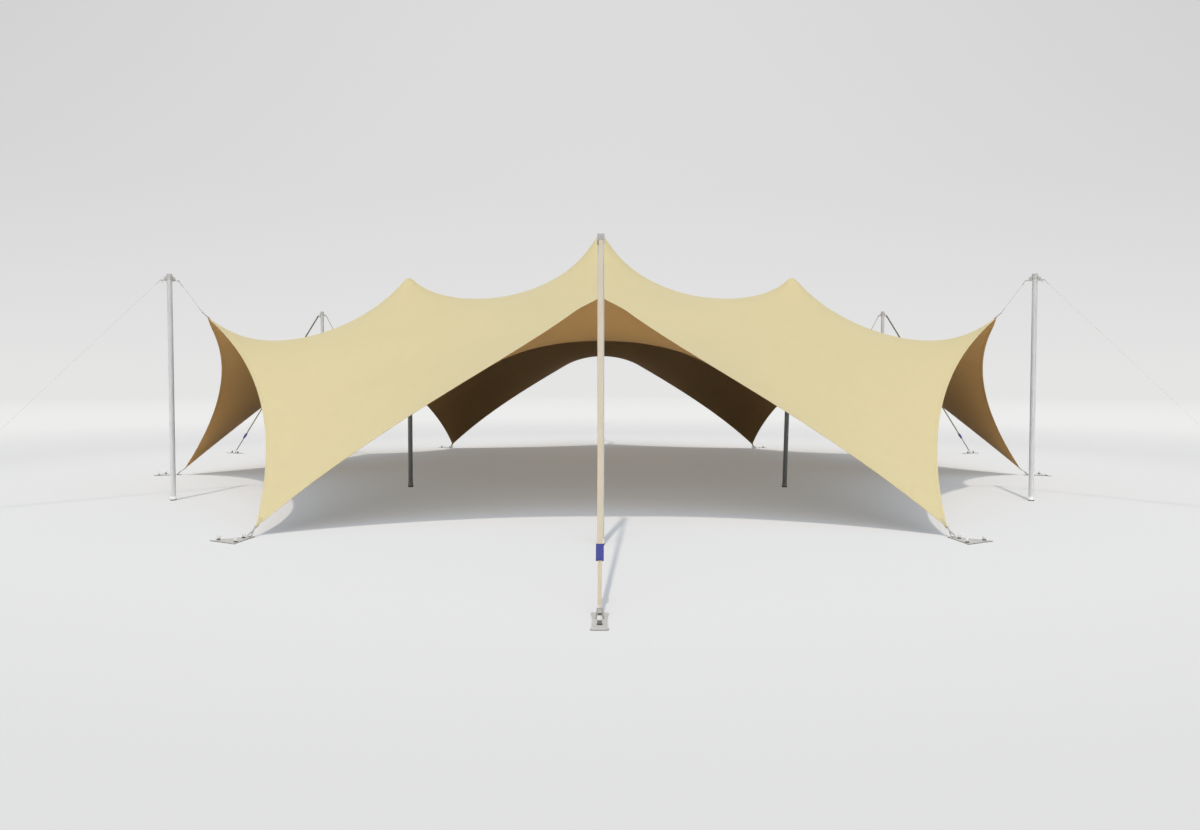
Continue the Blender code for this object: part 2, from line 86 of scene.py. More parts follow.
# ------------------------------------------------------------------ node helpers
class Nodes:
    """Small helper for building a material's node tree."""

    def __init__(self, name):
        self.mat = bpy.data.materials.new(name)
        self.mat.use_nodes = True
        self.t = self.mat.node_tree
        self.bsdf = self.t.nodes["Principled BSDF"]

    def add(self, kind, **props):
        n = self.t.nodes.new(kind)
        for k, v in props.items():
            setattr(n, k, v)
        return n

    def link(self, a, b):
        self.t.links.new(a, b)

    def coords(self, which="Object"):
        return self.add("ShaderNodeTexCoord").outputs[which]

    def uv(self, layer):
        return self.add("ShaderNodeUVMap", uv_map=layer).outputs["UV"]

    def scaled(self, vec, s):
        m = self.add("ShaderNodeMapping")
        m.inputs["Scale"].default_value = s if hasattr(s, "__len__") else (s, s, s)
        self.link(vec, m.inputs["Vector"])
        return m.outputs["Vector"]

    def noise(self, vec, scale, detail=3.0, rough=0.55):
        n = self.add("ShaderNodeTexNoise")
        n.inputs["Scale"].default_value = scale
        n.inputs["Detail"].default_value = detail
        n.inputs["Roughness"].default_value = rough
        self.link(vec, n.inputs["Vector"])
        return n.outputs["Fac"]

    def wave(self, vec, scale, axis="X", profile="SIN", distortion=0.0):
        n = self.add("ShaderNodeTexWave", wave_type="BANDS", bands_direction=axis, wave_profile=profile)
        n.inputs["Scale"].default_value = scale
        n.inputs["Distortion"].default_value = distortion
        self.link(vec, n.inputs["Vector"])
        return n.outputs["Fac"]

    def math(self, op, a, b=0.0, clamp=False):
        n = self.add("ShaderNodeMath", operation=op, use_clamp=clamp)
        for k, v in enumerate((a, b)):
            if isinstance(v, (int, float)):
                n.inputs[k].default_value = v
            else:
                self.link(v, n.inputs[k])
        return n.outputs[0]

    def remap(self, v, a, b, c, d, smooth=False):
        n = self.add("ShaderNodeMapRange", interpolation_type="SMOOTHSTEP" if smooth else "LINEAR")
        n.clamp = True if not smooth else n.clamp
        for k, x in zip(("From Min", "From Max", "To Min", "To Max"), (a, b, c, d)):
            n.inputs[k].default_value = x
        self.link(v, n.inputs["Value"])
        return n.outputs["Result"]

    def mix(self, fac, a, b):
        n = self.add("ShaderNodeMix", data_type="RGBA")
        for key, v in ((0, fac), (6, a), (7, b)):
            if isinstance(v, (int, float)):
                n.inputs[key].default_value = v
            elif hasattr(v, "__len__"):
                n.inputs[key].default_value = (*v[:3], 1.0)
            else:
                self.link(v, n.inputs[key])
        return n.outputs[2]

    def bump(self, height, strength, distance, normal=None):
        n = self.add("ShaderNodeBump")
        n.inputs["Strength"].default_value = strength
        n.inputs["Distance"].default_value = distance
        self.link(height, n.inputs["Height"])
        if normal is not None:
            self.link(normal, n.inputs["Normal"])
        return n.outputs["Normal"]

    def set(self, **kw):
        for k, v in kw.items():
            s = self.bsdf.inputs[k.replace("_", " ")]
            if isinstance(v, (int, float)):
                s.default_value = v
            elif hasattr(v, "__len__"):
                s.default_value = (*v[:3], 1.0)
            else:
                self.link(v, s)


def scale_rgb(c, k):
    return tuple(x * k for x in c)


def fabric(name, rgb, seam=None, rough=0.82, sheen=0.12, coat_spots=0.03, gloss=0.28):
    """Coated stretch fabric: fine knit ribs, faint cloudiness and handling marks."""
    n = Nodes(name)
    flat = n.uv("flat")
    obj = n.coords("Object")
    cloud = n.noise(n.scaled(obj, (1, 1, 1)), 0.42, 4.0, 0.5)
    mottle = n.noise(obj, 6.5, 5.0, 0.6)
    speck = n.noise(obj, 260.0, 2.0, 0.7)
    f = n.math("ADD", n.math("MULTIPLY", cloud, 0.55), n.math("MULTIPLY", mottle, 0.45))
    col = n.mix(n.remap(f, 0.3, 0.7, 0.0, 1.0), scale_rgb(rgb, 1 - coat_spots), scale_rgb(rgb, 1 + coat_spots))
    col = n.mix(n.remap(speck, 0.35, 0.75, 0.0, 0.10), col, scale_rgb(rgb, 0.82))
    height = n.math("ADD", n.math("MULTIPLY", n.wave(flat, 210.0, "X", distortion=0.6), 0.55),
                    n.math("MULTIPLY", n.wave(flat, 150.0, "Y", distortion=0.8), 0.45))
    nrm = n.bump(height, 0.22, 0.0004)
    nrm = n.bump(mottle, 0.10, 0.004, nrm)
    if seam:
        # stitch rows: dashes along u at set distances v from the edge
        hem = n.uv("hem")
        sep = n.add("ShaderNodeSeparateXYZ")
        n.link(hem, sep.inputs[0])
        u, v = sep.outputs[0], sep.outputs[1]
        rows = None
        for at in seam:
            d = n.math("ABSOLUTE", n.math("SUBTRACT", v, at))
            r = n.remap(d, 0.0007, 0.0013, 1.0, 0.0)
            rows = r if rows is None else n.math("MAXIMUM", rows, r)
        saw = n.math("FRACT", n.math("DIVIDE", u, 0.0052))
        dash = n.remap(n.math("ABSOLUTE", n.math("SUBTRACT", saw, 0.5)), 0.30, 0.36, 1.0, 0.0)
        st = n.math("MULTIPLY", rows, dash)
        near = None
        for at in seam:
            d = n.math("ABSOLUTE", n.math("SUBTRACT", v, at))
            r = n.remap(d, 0.0, 0.0050, 1.0, 0.0, True)
            near = r if near is None else n.math("MAXIMUM", near, r)
        col = n.mix(n.math("MULTIPLY", near, 0.18), col, scale_rgb(rgb, 0.7))
        col = n.mix(n.math("MULTIPLY", st, 0.75), col, scale_rgb(rgb, 1.12))
        nrm = n.bump(n.math("SUBTRACT", n.math("MULTIPLY", st, 0.9), near), 0.7, 0.0010, nrm)
    n.set(Base_Color=col, Roughness=n.remap(mottle, 0.25, 0.75, rough - 0.05, rough + 0.05), Normal=nrm)
    n.bsdf.inputs["Sheen Weight"].default_value = sheen
    n.bsdf.inputs["Sheen Roughness"].default_value = 0.45
    n.bsdf.inputs["Specular IOR Level"].default_value = gloss
    return n.mat


def webbing(name, rgb, rough=0.78):
    """Woven strap: warp ribs along, weft across."""
    n = Nodes(name)
    uv = n.uv("strap")
    sep = n.add("ShaderNodeSeparateXYZ")
    n.link(uv, sep.inputs[0])
    across, along = sep.outputs[0], sep.outputs[1]
    warp = n.math("ABSOLUTE", n.math("SUBTRACT", n.math("FRACT", n.math("DIVIDE", across, 0.0028)), 0.5))
    half = n.math("FRACT", n.math("DIVIDE", across, 0.0056))
    shift = n.math("MULTIPLY", n.math("GREATER_THAN", half, 0.5), 0.5)
    weft = n.math("ABSOLUTE", n.math("SUBTRACT", n.math("FRACT", n.math("ADD", n.math("DIVIDE", along, 0.0040), shift)), 0.5))
    height = n.math("SUBTRACT", 1.0, n.math("ADD", n.math("MULTIPLY", warp, 1.1), n.math("MULTIPLY", weft, 0.7)))
    obj = n.coords("Object")
    dirt = n.noise(obj, 9.0, 5.0, 0.65)
    fibre = n.noise(n.scaled(uv, (900.0, 60.0, 1.0)), 1.0, 2.0, 0.6)
    # hollows of the weave are painted darker than its crowns: painted shade
    col = n.mix(n.remap(height, 0.0, 0.9, 0.0, 1.0), scale_rgb(rgb, 0.80), scale_rgb(rgb, 1.05))
    col = n.mix(n.remap(fibre, 0.3, 0.7, 0.0, 0.12), col, scale_rgb(rgb, 0.72))
    col = n.mix(n.remap(dirt, 0.5, 0.8, 0.0, 0.22), col, scale_rgb(rgb, 0.78))
    n.set(Base_Color=col, Roughness=n.remap(dirt, 0.3, 0.7, rough - 0.06, rough + 0.08),
          Normal=n.bump(height, 0.55, 0.0006))
    n.bsdf.inputs["Sheen Weight"].default_value = 0.2
    n.bsdf.inputs["Sheen Roughness"].default_value = 0.5
    return n.mat


def metal(name, rgb, rough, metallic=1.0, brushed=True, spangle=0.0, bump=0.2, wear=0.06):
    """Drawn aluminium or galvanised steel, with drawing lines or zinc spangle."""
    n = Nodes(name)
    obj = n.coords("Object")
    big = n.noise(obj, 3.0, 4.0, 0.6)
    fine = n.noise(obj, 55.0, 4.0, 0.7)
    col = n.mix(n.remap(big, 0.3, 0.7, 0.0, 1.0), scale_rgb(rgb, 1 - wear), scale_rgb(rgb, 1 + wear * 0.7))
    h = fine
    if brushed:
        lines = n.noise(n.scaled(obj, (260.0, 260.0, 1.6)), 1.0, 3.0, 0.6)
        col = n.mix(n.remap(lines, 0.3, 0.7, 0.0, 0.07), col, scale_rgb(rgb, 0.78))
        h = n.math("ADD", n.math("MULTIPLY", lines, 0.7), n.math("MULTIPLY", fine, 0.3))
    if spangle:
        v = n.add("ShaderNodeTexVoronoi")
        v.inputs["Scale"].default_value = 95.0
        n.link(obj, v.inputs["Vector"])
        sp = n.add("ShaderNodeSeparateXYZ")
        n.link(v.outputs["Color"], sp.inputs[0])
        col = n.mix(n.remap(sp.outputs[0], 0.0, 1.0, 0.0, spangle), col, scale_rgb(rgb, 0.62))
        rough_v = n.remap(sp.outputs[1], 0.0, 1.0, rough - 0.10, rough + 0.12)
    else:
        rough_v = n.remap(fine, 0.25, 0.75, rough - 0.05, rough + 0.07)
    n.set(Base_Color=col, Roughness=rough_v, Normal=n.bump(h, bump, 0.0006))
    n.bsdf.inputs["Metallic"].default_value = metallic
    return n.mat


def plastic(name, rgb, rough):
    """Moulded rubber or plastic with a fine grain and scuffs."""
    n = Nodes(name)
    obj = n.coords("Object")
    grain = n.noise(obj, 700.0, 2.0, 0.6)
    scuff = n.noise(n.scaled(obj, (1, 1, 3)), 40.0, 5.0, 0.75)
    col = n.mix(n.remap(scuff, 0.52, 0.78, 0.0, 0.5), rgb, tuple(min(1.0, x * 1.6 + 0.02) for x in rgb))
    n.set(Base_Color=col, Roughness=n.remap(scuff, 0.4, 0.8, rough, min(1.0, rough + 0.2)),
          Normal=n.bump(grain, 0.25, 0.0003))
    return n.mat


CREAM = (0.744, 0.655, 0.383)
BROWN = (0.372, 0.214, 0.076)
OLIVE_PAINTED_SHADE = (0.19, 0.175, 0.115)
M_TOP = fabric("sheet_cream_outside", CREAM)
M_TOP_HEM = fabric("sheet_cream_hem", CREAM, seam=(0.006, 0.032))
M_IN = fabric("sheet_brown_inside", BROWN, rough=0.92, sheen=0.0, coat_spots=0.06, gloss=0.10)
M_IN_HEM = fabric("sheet_brown_hem", BROWN, seam=(0.006, 0.032), rough=0.92, sheen=0.0, coat_spots=0.06, gloss=0.10)
M_WEB = webbing("webbing_cream", (0.70, 0.62, 0.48))
# the straps' undersides as a dark olive copy of the webbing: painted shade
M_WEB_PAINTED_SHADE = webbing("webbing_olive_painted_shade", OLIVE_PAINTED_SHADE, rough=0.85)
M_WEB_GREY = webbing("webbing_pale", (0.52, 0.505, 0.465))
M_BLUE = webbing("sleeve_blue", (0.045, 0.058, 0.330), rough=0.7)
# the sleeve's lower half as a darker blue: painted shade
M_BLUE_PAINTED_SHADE = webbing("sleeve_blue_painted_shade", (0.016, 0.014, 0.155), rough=0.8)
M_WEB_DARK = webbing("webbing_grey", (0.27, 0.265, 0.245), rough=0.85)
M_TAB_OUT = webbing("tab_cream", scale_rgb(CREAM, 0.98))
M_TAB_IN = webbing("tab_brown", scale_rgb(BROWN, 0.95), rough=0.88)
M_KEEPER = plastic("strap_keeper", (0.17, 0.145, 0.13), 0.7)
M_THREAD = plastic("stitch_thread", (0.55, 0.50, 0.40), 0.7)
M_THREAD_DARK = plastic("stitch_thread_grey", (0.22, 0.21, 0.19), 0.7)
M_THREAD_BLUE = plastic("stitch_thread_blue", (0.035, 0.040, 0.20), 0.7)
M_POLE = metal("pole_aluminium", (0.625, 0.635, 0.660), 0.55, 0.06)
# the inner poles as a dark copy of the outer poles' aluminium: painted shade under the sheet
M_INNER_PAINTED_SHADE = metal("inner_pole_aluminium", (0.235, 0.262, 0.262), 0.50, 0.20)
M_HEAD = metal("head_galvanised", (0.53, 0.53, 0.525), 0.55, 0.05, brushed=False, spangle=0.04, bump=0.12)
M_ZINC = metal("anchor_galvanised", (0.72, 0.72, 0.71), 0.52, 0.12, brushed=False, spangle=0.16, bump=0.15)
# the plates' sides and lower bevels are darker copies of the zinc: painted shade
M_EDGE_PAINTED_SHADE = metal("anchor_edge_painted_shade", (0.22, 0.22, 0.21), 0.60, 0.15, brushed=False, spangle=0.15, bump=0.2)
M_EDGE_LOW_PAINTED_SHADE = metal("corner_edge_painted_shade", (0.14, 0.14, 0.135), 0.60, 0.15, brushed=False, spangle=0.15, bump=0.2)
M_BOLT = metal("bolt_zinc", (0.42, 0.42, 0.41), 0.50, 0.1, brushed=False, bump=0.12)
M_RING = metal("ring_zinc", (0.36, 0.36, 0.355), 0.50, 0.15, brushed=False, bump=0.12)
M_STAKE_TOP = metal("stake_head_zinc", (0.84, 0.84, 0.83), 0.42, 0.15, brushed=False, spangle=0.10, bump=0.12)
# the shank is a dark copy of the head's zinc: painted shade below the lit head
M_STAKE_LOW_PAINTED_SHADE = metal("stake_shank_painted_shade", (0.22, 0.217, 0.203), 0.60, 0.15, brushed=False, spangle=0.15, bump=0.25)
# the near-black collar at a stake's foot: painted contact shadow
M_STAKE_PAINTED_SHADOW = metal("stake_rim_painted_shadow", (0.085, 0.083, 0.078), 0.65, 0.05, brushed=False, bump=0.2)
M_RUBBER = plastic("foot_rubber", (0.065, 0.065, 0.063), 0.75)
M_COLLAR = plastic("foot_collar", (0.80, 0.80, 0.79), 0.5)
M_COLLAR_IN = plastic("foot_collar_shaded", (0.36, 0.37, 0.37), 0.5)
M_DOME = plastic("head_dome", (0.16, 0.16, 0.155), 0.6)


# ------------------------------------------------------------------ mesh helpers
class Part:
    """Collects shapes with material numbers, then makes one mesh of them."""

    def __init__(self, mats, uv=None):
        self.v, self.f, self.m, self.uvs, self.mats, self.layer = [], [], [], [], mats, uv

    def add(self, verts, faces, mat=0, uvs=None, flip=False):
        o = len(self.v)
        self.v += [tuple(float(c) for c in p) for p in verts]
        for k, f in enumerate(faces):
            q = [i + o for i in f]
            w = list(uvs[k]) if uvs is not None else [(0.0, 0.0)] * len(f)
            if flip:
                q.reverse()
                w.reverse()
            self.f.append(q)
            self.uvs += w
        self.m += list(mat) if hasattr(mat, "__len__") else [mat] * len(faces)
        return self

    def mesh(self, name, angle=38):
        me = bpy.data.meshes.new(name)
        me.from_pydata(self.v, [], self.f)
        for m in self.mats:
            me.materials.append(m)
        me.polygons.foreach_set("material_index", self.m)
        if self.layer:
            lay = me.uv_layers.new(name=self.layer)
            lay.data.foreach_set("uv", np.array(self.uvs, np.float32).ravel())
        me.update()
        me.shade_smooth()
        me.set_sharp_from_angle(angle=math.radians(angle))
        return me


def place(name, mesh, loc=(0, 0, 0), rot_z=0.0, replaces=()):
    ob = bpy.data.objects.new(name, mesh)
    bpy.context.scene.collection.objects.link(ob)
    ob.location = loc
    ob.rotation_euler = (0, 0, rot_z)
    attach(ob, "root")
    if replaces:
        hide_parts(*replaces)
    return ob


def lathe(profile, sides, cap_low=True, cap_high=True):
    verts, faces = [], []
    for r, z in profile:
        for k in range(sides):
            t = 2 * math.pi * k / sides
            verts.append((r * math.cos(t), r * math.sin(t), z))
    for s in range(len(profile) - 1):
        for k in range(sides):
            a, b = s * sides + k, s * sides + (k + 1) % sides
            faces.append((a, b, b + sides, a + sides))
    if cap_low:
        faces.append(tuple(reversed(range(sides))))
    if cap_high:
        last = (len(profile) - 1) * sides
        faces.append(tuple(last + k for k in range(sides)))
    return verts, faces


def moved(vf, loc=(0, 0, 0), matrix=None):
    v, f = vf
    out = []
    for p in v:
        q = Vector(p)
        if matrix is not None:
            q = matrix @ q
        out.append(q + Vector(loc))
    return out, f


def tube(path, rod, sides=12, closed=False, cap=True):
    """Round rod along a path, with a frame carried along it."""
    pts = [Vector(p) for p in path]
    m = len(pts)
    tang = []
    for k in range(m):
        if closed:
            d = pts[(k + 1) % m] - pts[k - 1]
        else:
            d = pts[min(k + 1, m - 1)] - pts[max(k - 1, 0)]
        tang.append(d.normalized())
    ref = Vector((0, 0, 1))
    if abs(tang[0].dot(ref)) > 0.9:
        ref = Vector((1, 0, 0))
    side = tang[0].cross(ref).normalized()
    sides_v = [side]
    for k in range(1, m):
        rot = tang[k - 1].rotation_difference(tang[k])
        side = rot @ side
        side = (side - tang[k] * side.dot(tang[k])).normalized()
        sides_v.append(side)
    if closed:
        rot = tang[-1].rotation_difference(tang[0])
        end = rot @ sides_v[-1]
        ang = math.atan2(end.cross(sides_v[0]).dot(tang[0]), end.dot(sides_v[0]))
        for k in range(m):
            sides_v[k] = Matrix.Rotation(ang * k / m, 3, tang[k]) @ sides_v[k]
    verts, faces = [], []
    for k in range(m):
        s, u = sides_v[k], tang[k].cross(sides_v[k])
        r = rod[k] if hasattr(rod, "__len__") else rod
        for j in range(sides):
            a = 2 * math.pi * j / sides
            verts.append(pts[k] + s * (r * math.cos(a)) + u * (r * math.sin(a)))
    for k in range(m if closed else m - 1):
        n2 = (k + 1) % m
        for j in range(sides):
            j2 = (j + 1) % sides
            faces.append((k * sides + j, k * sides + j2, n2 * sides + j2, n2 * sides + j))
    if not closed and cap:
        faces.append(tuple(reversed(range(sides))))
        faces.append(tuple((m - 1) * sides + j for j in range(sides)))
    return verts, faces


def rounded(points, radius, steps=5, closed=True):
    """A polygon with its corners rounded off by arcs."""
    pts = [Vector(p) for p in points]
    out = []
    m = len(pts)
    for k in range(m):
        p = pts[k]
        if not closed and k in (0, m - 1):
            out.append(p)
            continue
        a, b = pts[k - 1], pts[(k + 1) % m]
        da, db = (a - p), (b - p)
        la, lb = da.length, db.length
        r = radius[k] if hasattr(radius, "__len__") else radius
        if r <= 0:
            out.append(p)
            continue
        ang = da.angle(db)
        cut = min(r / math.tan(ang / 2), la * 0.49, lb * 0.49)
        s, e = p + da.normalized() * cut, p + db.normalized() * cut
        for i in range(steps + 1):
            t = i / steps
            out.append(s * (1 - t) ** 2 + p * (2 * t * (1 - t)) + e * t ** 2)
    return out


def plate(outline, z0, z1, bevel=0.0012, holes=()):
    """Flat plate over an outline, with its rims rounded off."""
    bm = bmesh.new()
    low = [bm.verts.new((p[0], p[1], z0)) for p in outline]
    face = bm.faces.new(low)
    if face.normal.z > 0:
        face.normal_flip()
    bm.normal_update()
    r = bmesh.ops.extrude_face_region(bm, geom=[face])
    top = [e for e in r["geom"] if isinstance(e, bmesh.types.BMVert)]
    for v in top:
        v.co.z = z1
    bmesh.ops.recalc_face_normals(bm, faces=bm.faces)
    if bevel:
        rim = [e for e in bm.edges if abs(e.verts[0].co.z - e.verts[1].co.z) < 1e-6]
        bmesh.ops.bevel(bm, geom=rim, offset=bevel, segments=2, profile=0.6, affect="EDGES")
    bm.verts.index_update()
    verts = [v.co.copy() for v in bm.verts]
    faces = [tuple(v.index for v in f.verts) for f in bm.faces]
    bm.free()
    return verts, faces


def hex_nut(r, h, loc, axis="z", chamfer=0.12):
    prof = [(r * (1 - chamfer), 0), (r, h * chamfer * 1.6), (r, h * (1 - chamfer * 1.6)), (r * (1 - chamfer), h)]
    v, f = lathe(prof, 6)
    mt = {"z": Matrix.Identity(3), "y": Matrix.Rotation(-math.pi / 2, 3, "X"), "-y": Matrix.Rotation(math.pi / 2, 3, "X"),
          "x": Matrix.Rotation(math.pi / 2, 3, "Y")}[axis]
    return moved((v, f), loc, mt)


def strap_ribbon(part, path, half_w, thick, mat=0, v0=0.0, y0=0.0, under=None):
    """Webbing along a path of (x, z) points in the local XZ plane, as wide as given.

    under is (material number, up vector): that material is painted shade, put on the faces that look away from up.
    """
    pts = [Vector((p[0], 0, p[1])) for p in path]
    m = len(pts)
    widths = half_w if hasattr(half_w, "__len__") else [half_w] * m
    Y = Vector((0, 1, 0))
    sec = [(-1.0, 0.0), (-0.975, -1.0), (-0.5, -1.0), (0.0, -1.0), (0.5, -1.0), (0.975, -1.0),
           (1.0, 0.0), (0.975, 1.0), (0.5, 1.0), (0.0, 1.0), (-0.5, 1.0), (-0.975, 1.0)]
    verts, faces, uvs, run, where, normals = [], [], [], v0, [], []
    for k in range(m):
        d = (pts[min(k + 1, m - 1)] - pts[max(k - 1, 0)]).normalized()
        n = d.cross(Y).normalized()
        normals.append(n)
        if k:
            run += (pts[k] - pts[k - 1]).length
        where.append(run)
        for a, b in sec:
            verts.append(pts[k] + Y * (a * widths[k] + y0) + n * (b * thick / 2))
    c = len(sec)
    for k in range(m - 1):
        for j in range(c):
            j2 = (j + 1) % c
            faces.append((k * c + j, k * c + j2, (k + 1) * c + j2, (k + 1) * c + j))
            ua, ub = sec[j][0] * widths[k], sec[j2][0] * widths[k]
            uvs.append([(ua, where[k]), (ub, where[k]), (ub, where[k + 1]), (ua, where[k + 1])])
    faces.append(tuple(reversed(range(c))))
    uvs.append([(0.0, 0.0)] * c)
    faces.append(tuple((m - 1) * c + j for j in range(c)))
    uvs.append([(0.0, 0.0)] * c)
    mats = [mat] * len(faces)
    # faces turned downwards get the darker material: painted shade on the strap's underside
    if under is not None:
        for k in range(m - 1):
            lean = (normals[k] + normals[k + 1]).dot(under[1]) / 2
            for j in range(c):
                if j not in (0, 5, 6, 11) and (lean if j > 5 else -lean) < -0.3:
                    mats[k * c + j] = under[0]
    part.add(verts, faces, mats, uvs, flip=True)


def between(a, b, n):
    """n points from a to b, without the last."""
    return [(a[0] + (b[0] - a[0]) * i / n, a[1] + (b[1] - a[1]) * i / n) for i in range(n)]


def stitch_rows(part, origin, d, n, w, length, rows, mat, y0=0.0):
    """Sewn box with a cross in it, as thread standing a little proud of a strap."""
    o, d, n, Y = Vector((origin[0], 0, origin[1])), Vector((d[0], 0, d[1])), Vector((n[0], 0, n[1])), Vector((0, 1, 0))
    o = o + Y * y0

    def at(s, y):
        return o + d * s + Y * y + n * 0.0002

    for s0, y0_, s1, y1_ in rows:
        p, q = at(s0 * length, y0_ * w), at(s1 * length, y1_ * w)
        k = max(2, int((q - p).length / 0.0035))
        for i in range(k):
            a, b = p.lerp(q, (i + 0.12) / k), p.lerp(q, (i + 0.88) / k)
            mid = (a + b) / 2 + n * 0.0005
            part.add(*tube([a, mid, b], 0.00045, 5), mat)


BOX_X = [(0, -1, 1, -1), (0, 1, 1, 1), (0, -1, 0, 1), (1, -1, 1, 1), (0, -1, 1, 1), (0, 1, 1, -1)]

# ------------------------------------------------------------------ the sheet
E1, E2 = polar(1, 30)[:2], polar(1, 150)[:2]
DIRS = ((1, 0), (1, 1), (0, 1), (-1, 0), (-1, -1), (0, -1))


def hex_net(n):
    rc, idx = [], {}
    for a in range(-n, n + 1):
        for b in range(-n, n + 1):
            if abs(a - b) <= n:
                idx[(a, b)] = len(rc)
                rc.append((a, b))
    nb = np.array([[idx.get((a + da, b + db), -1) for da, db in DIRS] for a, b in rc])
    k = np.arange(len(rc))
    tris = []
    for s in (0, 1):
        ok = (nb[:, s] >= 0) & (nb[:, s + 1] >= 0)
        tris.append(np.stack([k[ok], nb[ok, s], nb[ok, s + 1]], 1))
    rc = np.array(rc)
    ring = np.maximum.reduce([abs(rc[:, 0]), abs(rc[:, 1]), abs(rc[:, 0] - rc[:, 1])])
    return rc, idx, nb, np.concatenate(tris), ring


def form_find(n):
    """Equilibrium of the net: every knot rests where its links' pulls balance."""
    rc, idx, nb, tris, ring = hex_net(n)
    plan = (rc[:, :1] * E1 + rc[:, 1:] * E2) * CORNER_R / H / n

    def near(p):
        return int(np.argmin(((plan - np.asarray(p)[:2]) ** 2).sum(1)))

    fixed, corners, tips, heads = {}, [], [], []
    for k in range(6):
        corners.append(near(polar(CORNER_R / H, 30 + 60 * k)))
        fixed[corners[-1]] = polar(CORNER_R / H, 30 + 60 * k, CORNER_Z / H)
        tips.append(near(polar(CORNER_R / H * math.cos(math.radians(30)), 60 * k)))
        fixed[tips[-1]] = polar(TIP_R / H, 60 * k, TIP_Z / H)
    half = CORNER_R / H * math.cos(math.radians(30)) / 2
    for (x, y), z, g in ((CENTRE_HEAD, PEAK_C, (0, 0)),
                         (INNER_LEFT, PEAK_I, polar(half, -60)),
                         (INNER_RIGHT_HEAD, PEAK_I, polar(half, 60)),
                         (INNER_BACK, PEAK_I, polar(half, 180))):
        heads.append(near(g))
        fixed[heads[-1]] = np.array([x / H, y / H, z])
    link = np.array([(i, j) for i in range(len(rc)) for j in nb[i] if j > i])
    mid = (plan[link[:, 0]] + plan[link[:, 1]]) / 2
    q = np.ones(len(link))
    for k, i in enumerate(heads):
        d2 = ((mid - plan[i]) ** 2).sum(1)
        q += (PEAK_QI if k else PEAK_QC) / (d2 + PEAK_EPS)
    for i in tips:
        q += TIP_Q / (1 + ((mid - plan[i]) ** 2).sum(1) / TIP_QR ** 2)
    for i in corners:
        q += LEG_Q / (1 + ((mid - plan[i]) ** 2).sum(1) / LEG_QR ** 2)
    q[(ring[link[:, 0]] == n) & (ring[link[:, 1]] == n)] = EDGE_Q
    count = len(rc)
    x = np.zeros((count, 3))
    x[:, :2], x[:, 2] = plan, TIP_Z / H
    free = np.ones(count, bool)
    for i, v in fixed.items():
        x[i], free[i] = v, False
    i, j = link[:, 0], link[:, 1]
    diag = (np.bincount(i, q, count) + np.bincount(j, q, count))[:, None]

    def pull(v):
        d = (v[i] - v[j]) * q[:, None]
        return np.stack([np.bincount(i, d[:, c], count) - np.bincount(j, d[:, c], count)
                         for c in range(3)], 1)

    r = -pull(x)
    r[~free] = 0
    z = r / diag
    p, rz = z.copy(), (r * z).sum(0)
    for _ in range(3000):
        ap = pull(p)
        ap[~free] = 0
        al = rz / np.maximum((p * ap).sum(0), 1e-30)
        x += al * p
        r -= al * ap
        z = r / diag
        rz2 = (r * z).sum(0)
        if rz2.max() < 1e-16:
            break
        p = z + rz2 / np.maximum(rz, 1e-30) * p
        rz = rz2
    return x, rc, idx, nb, ring, set(corners) | set(tips)


def refine(x, rc, idx, nb, ring, n, keep):
    """One smoothing subdivision of the net."""
    rc2, idx2, nb2, tris2, ring2 = hex_net(2 * n)
    y = np.zeros((len(rc2), 3))
    inner = ring < n
    even = np.array([idx2[(2 * a, 2 * b)] for a, b in rc])
    y[even[inner]] = 0.625 * x[inner] + x[nb[inner]].sum(1) / 16.0
    for i in np.where(~inner)[0]:
        if i in keep:
            y[even[i]] = x[i]
        else:
            m = [j for j in nb[i] if j >= 0 and ring[j] == n]
            y[even[i]] = 0.75 * x[i] + 0.125 * (x[m[0]] + x[m[1]])
    for k in range(3):
        da, db = DIRS[k]
        src = np.where(nb[:, k] >= 0)[0]
        j = nb[src, k]
        left, right = nb[src, (k + 1) % 6], nb[src, (k - 1) % 6]
        t = np.array([idx2[(2 * a + da, 2 * b + db)] for a, b in rc[src]])
        rim = (left < 0) | (right < 0)
        v = 0.375 * (x[src] + x[j]) + 0.125 * (x[left] + x[right])
        v[rim] = 0.5 * (x[src[rim]] + x[j[rim]])
        y[t] = v
    return y, rc2, idx2, nb2, tris2, ring2, 2 * n, {int(even[i]) for i in keep}


def smooth_limit(x, nb, ring, n, keep):
    out = x.copy()
    inner = ring < n
    out[inner] = 0.5 * x[inner] + x[nb[inner]].sum(1) / 12.0
    for i in np.where(~inner)[0]:
        if i not in keep:
            m = [j for j in nb[i] if j >= 0 and ring[j] == n]
            out[i] = (x[m[0]] + 4 * x[i] + x[m[1]]) / 6.0
    return out


net, rc, idx, nb, ring, keep = form_find(NET)
n_net = NET
for _ in range(2):
    net, rc, idx, nb, tris, ring, n_net, keep = refine(net, rc, idx, nb, ring, n_net, keep)
P = smooth_limit(net, nb, ring, n_net, keep) * H
for i in sorted(keep):                                  # the cloth stops short of the pins of its side tips
    if P[i][2] > 1.0:
        back = rc[i] // math.gcd(abs(int(rc[i][0])), abs(int(rc[i][1])))
        u_in = P[idx[(int(rc[i][0] - back[0]), int(rc[i][1] - back[1]))]] - P[i]
        u_in /= np.linalg.norm(u_in)
        turn = math.atan2(P[i][0], -P[i][1])
        lat = np.array([math.cos(turn), math.sin(turn), 0.0])
        d = P - P[i]
        fall = np.clip(1 - np.linalg.norm(d, axis=1) / TIP_REACH, 0, 1) ** 2
        P = P + fall[:, None] * (u_in * TIP_DRAWN - np.outer(d @ lat, lat) * TIP_SLIM)
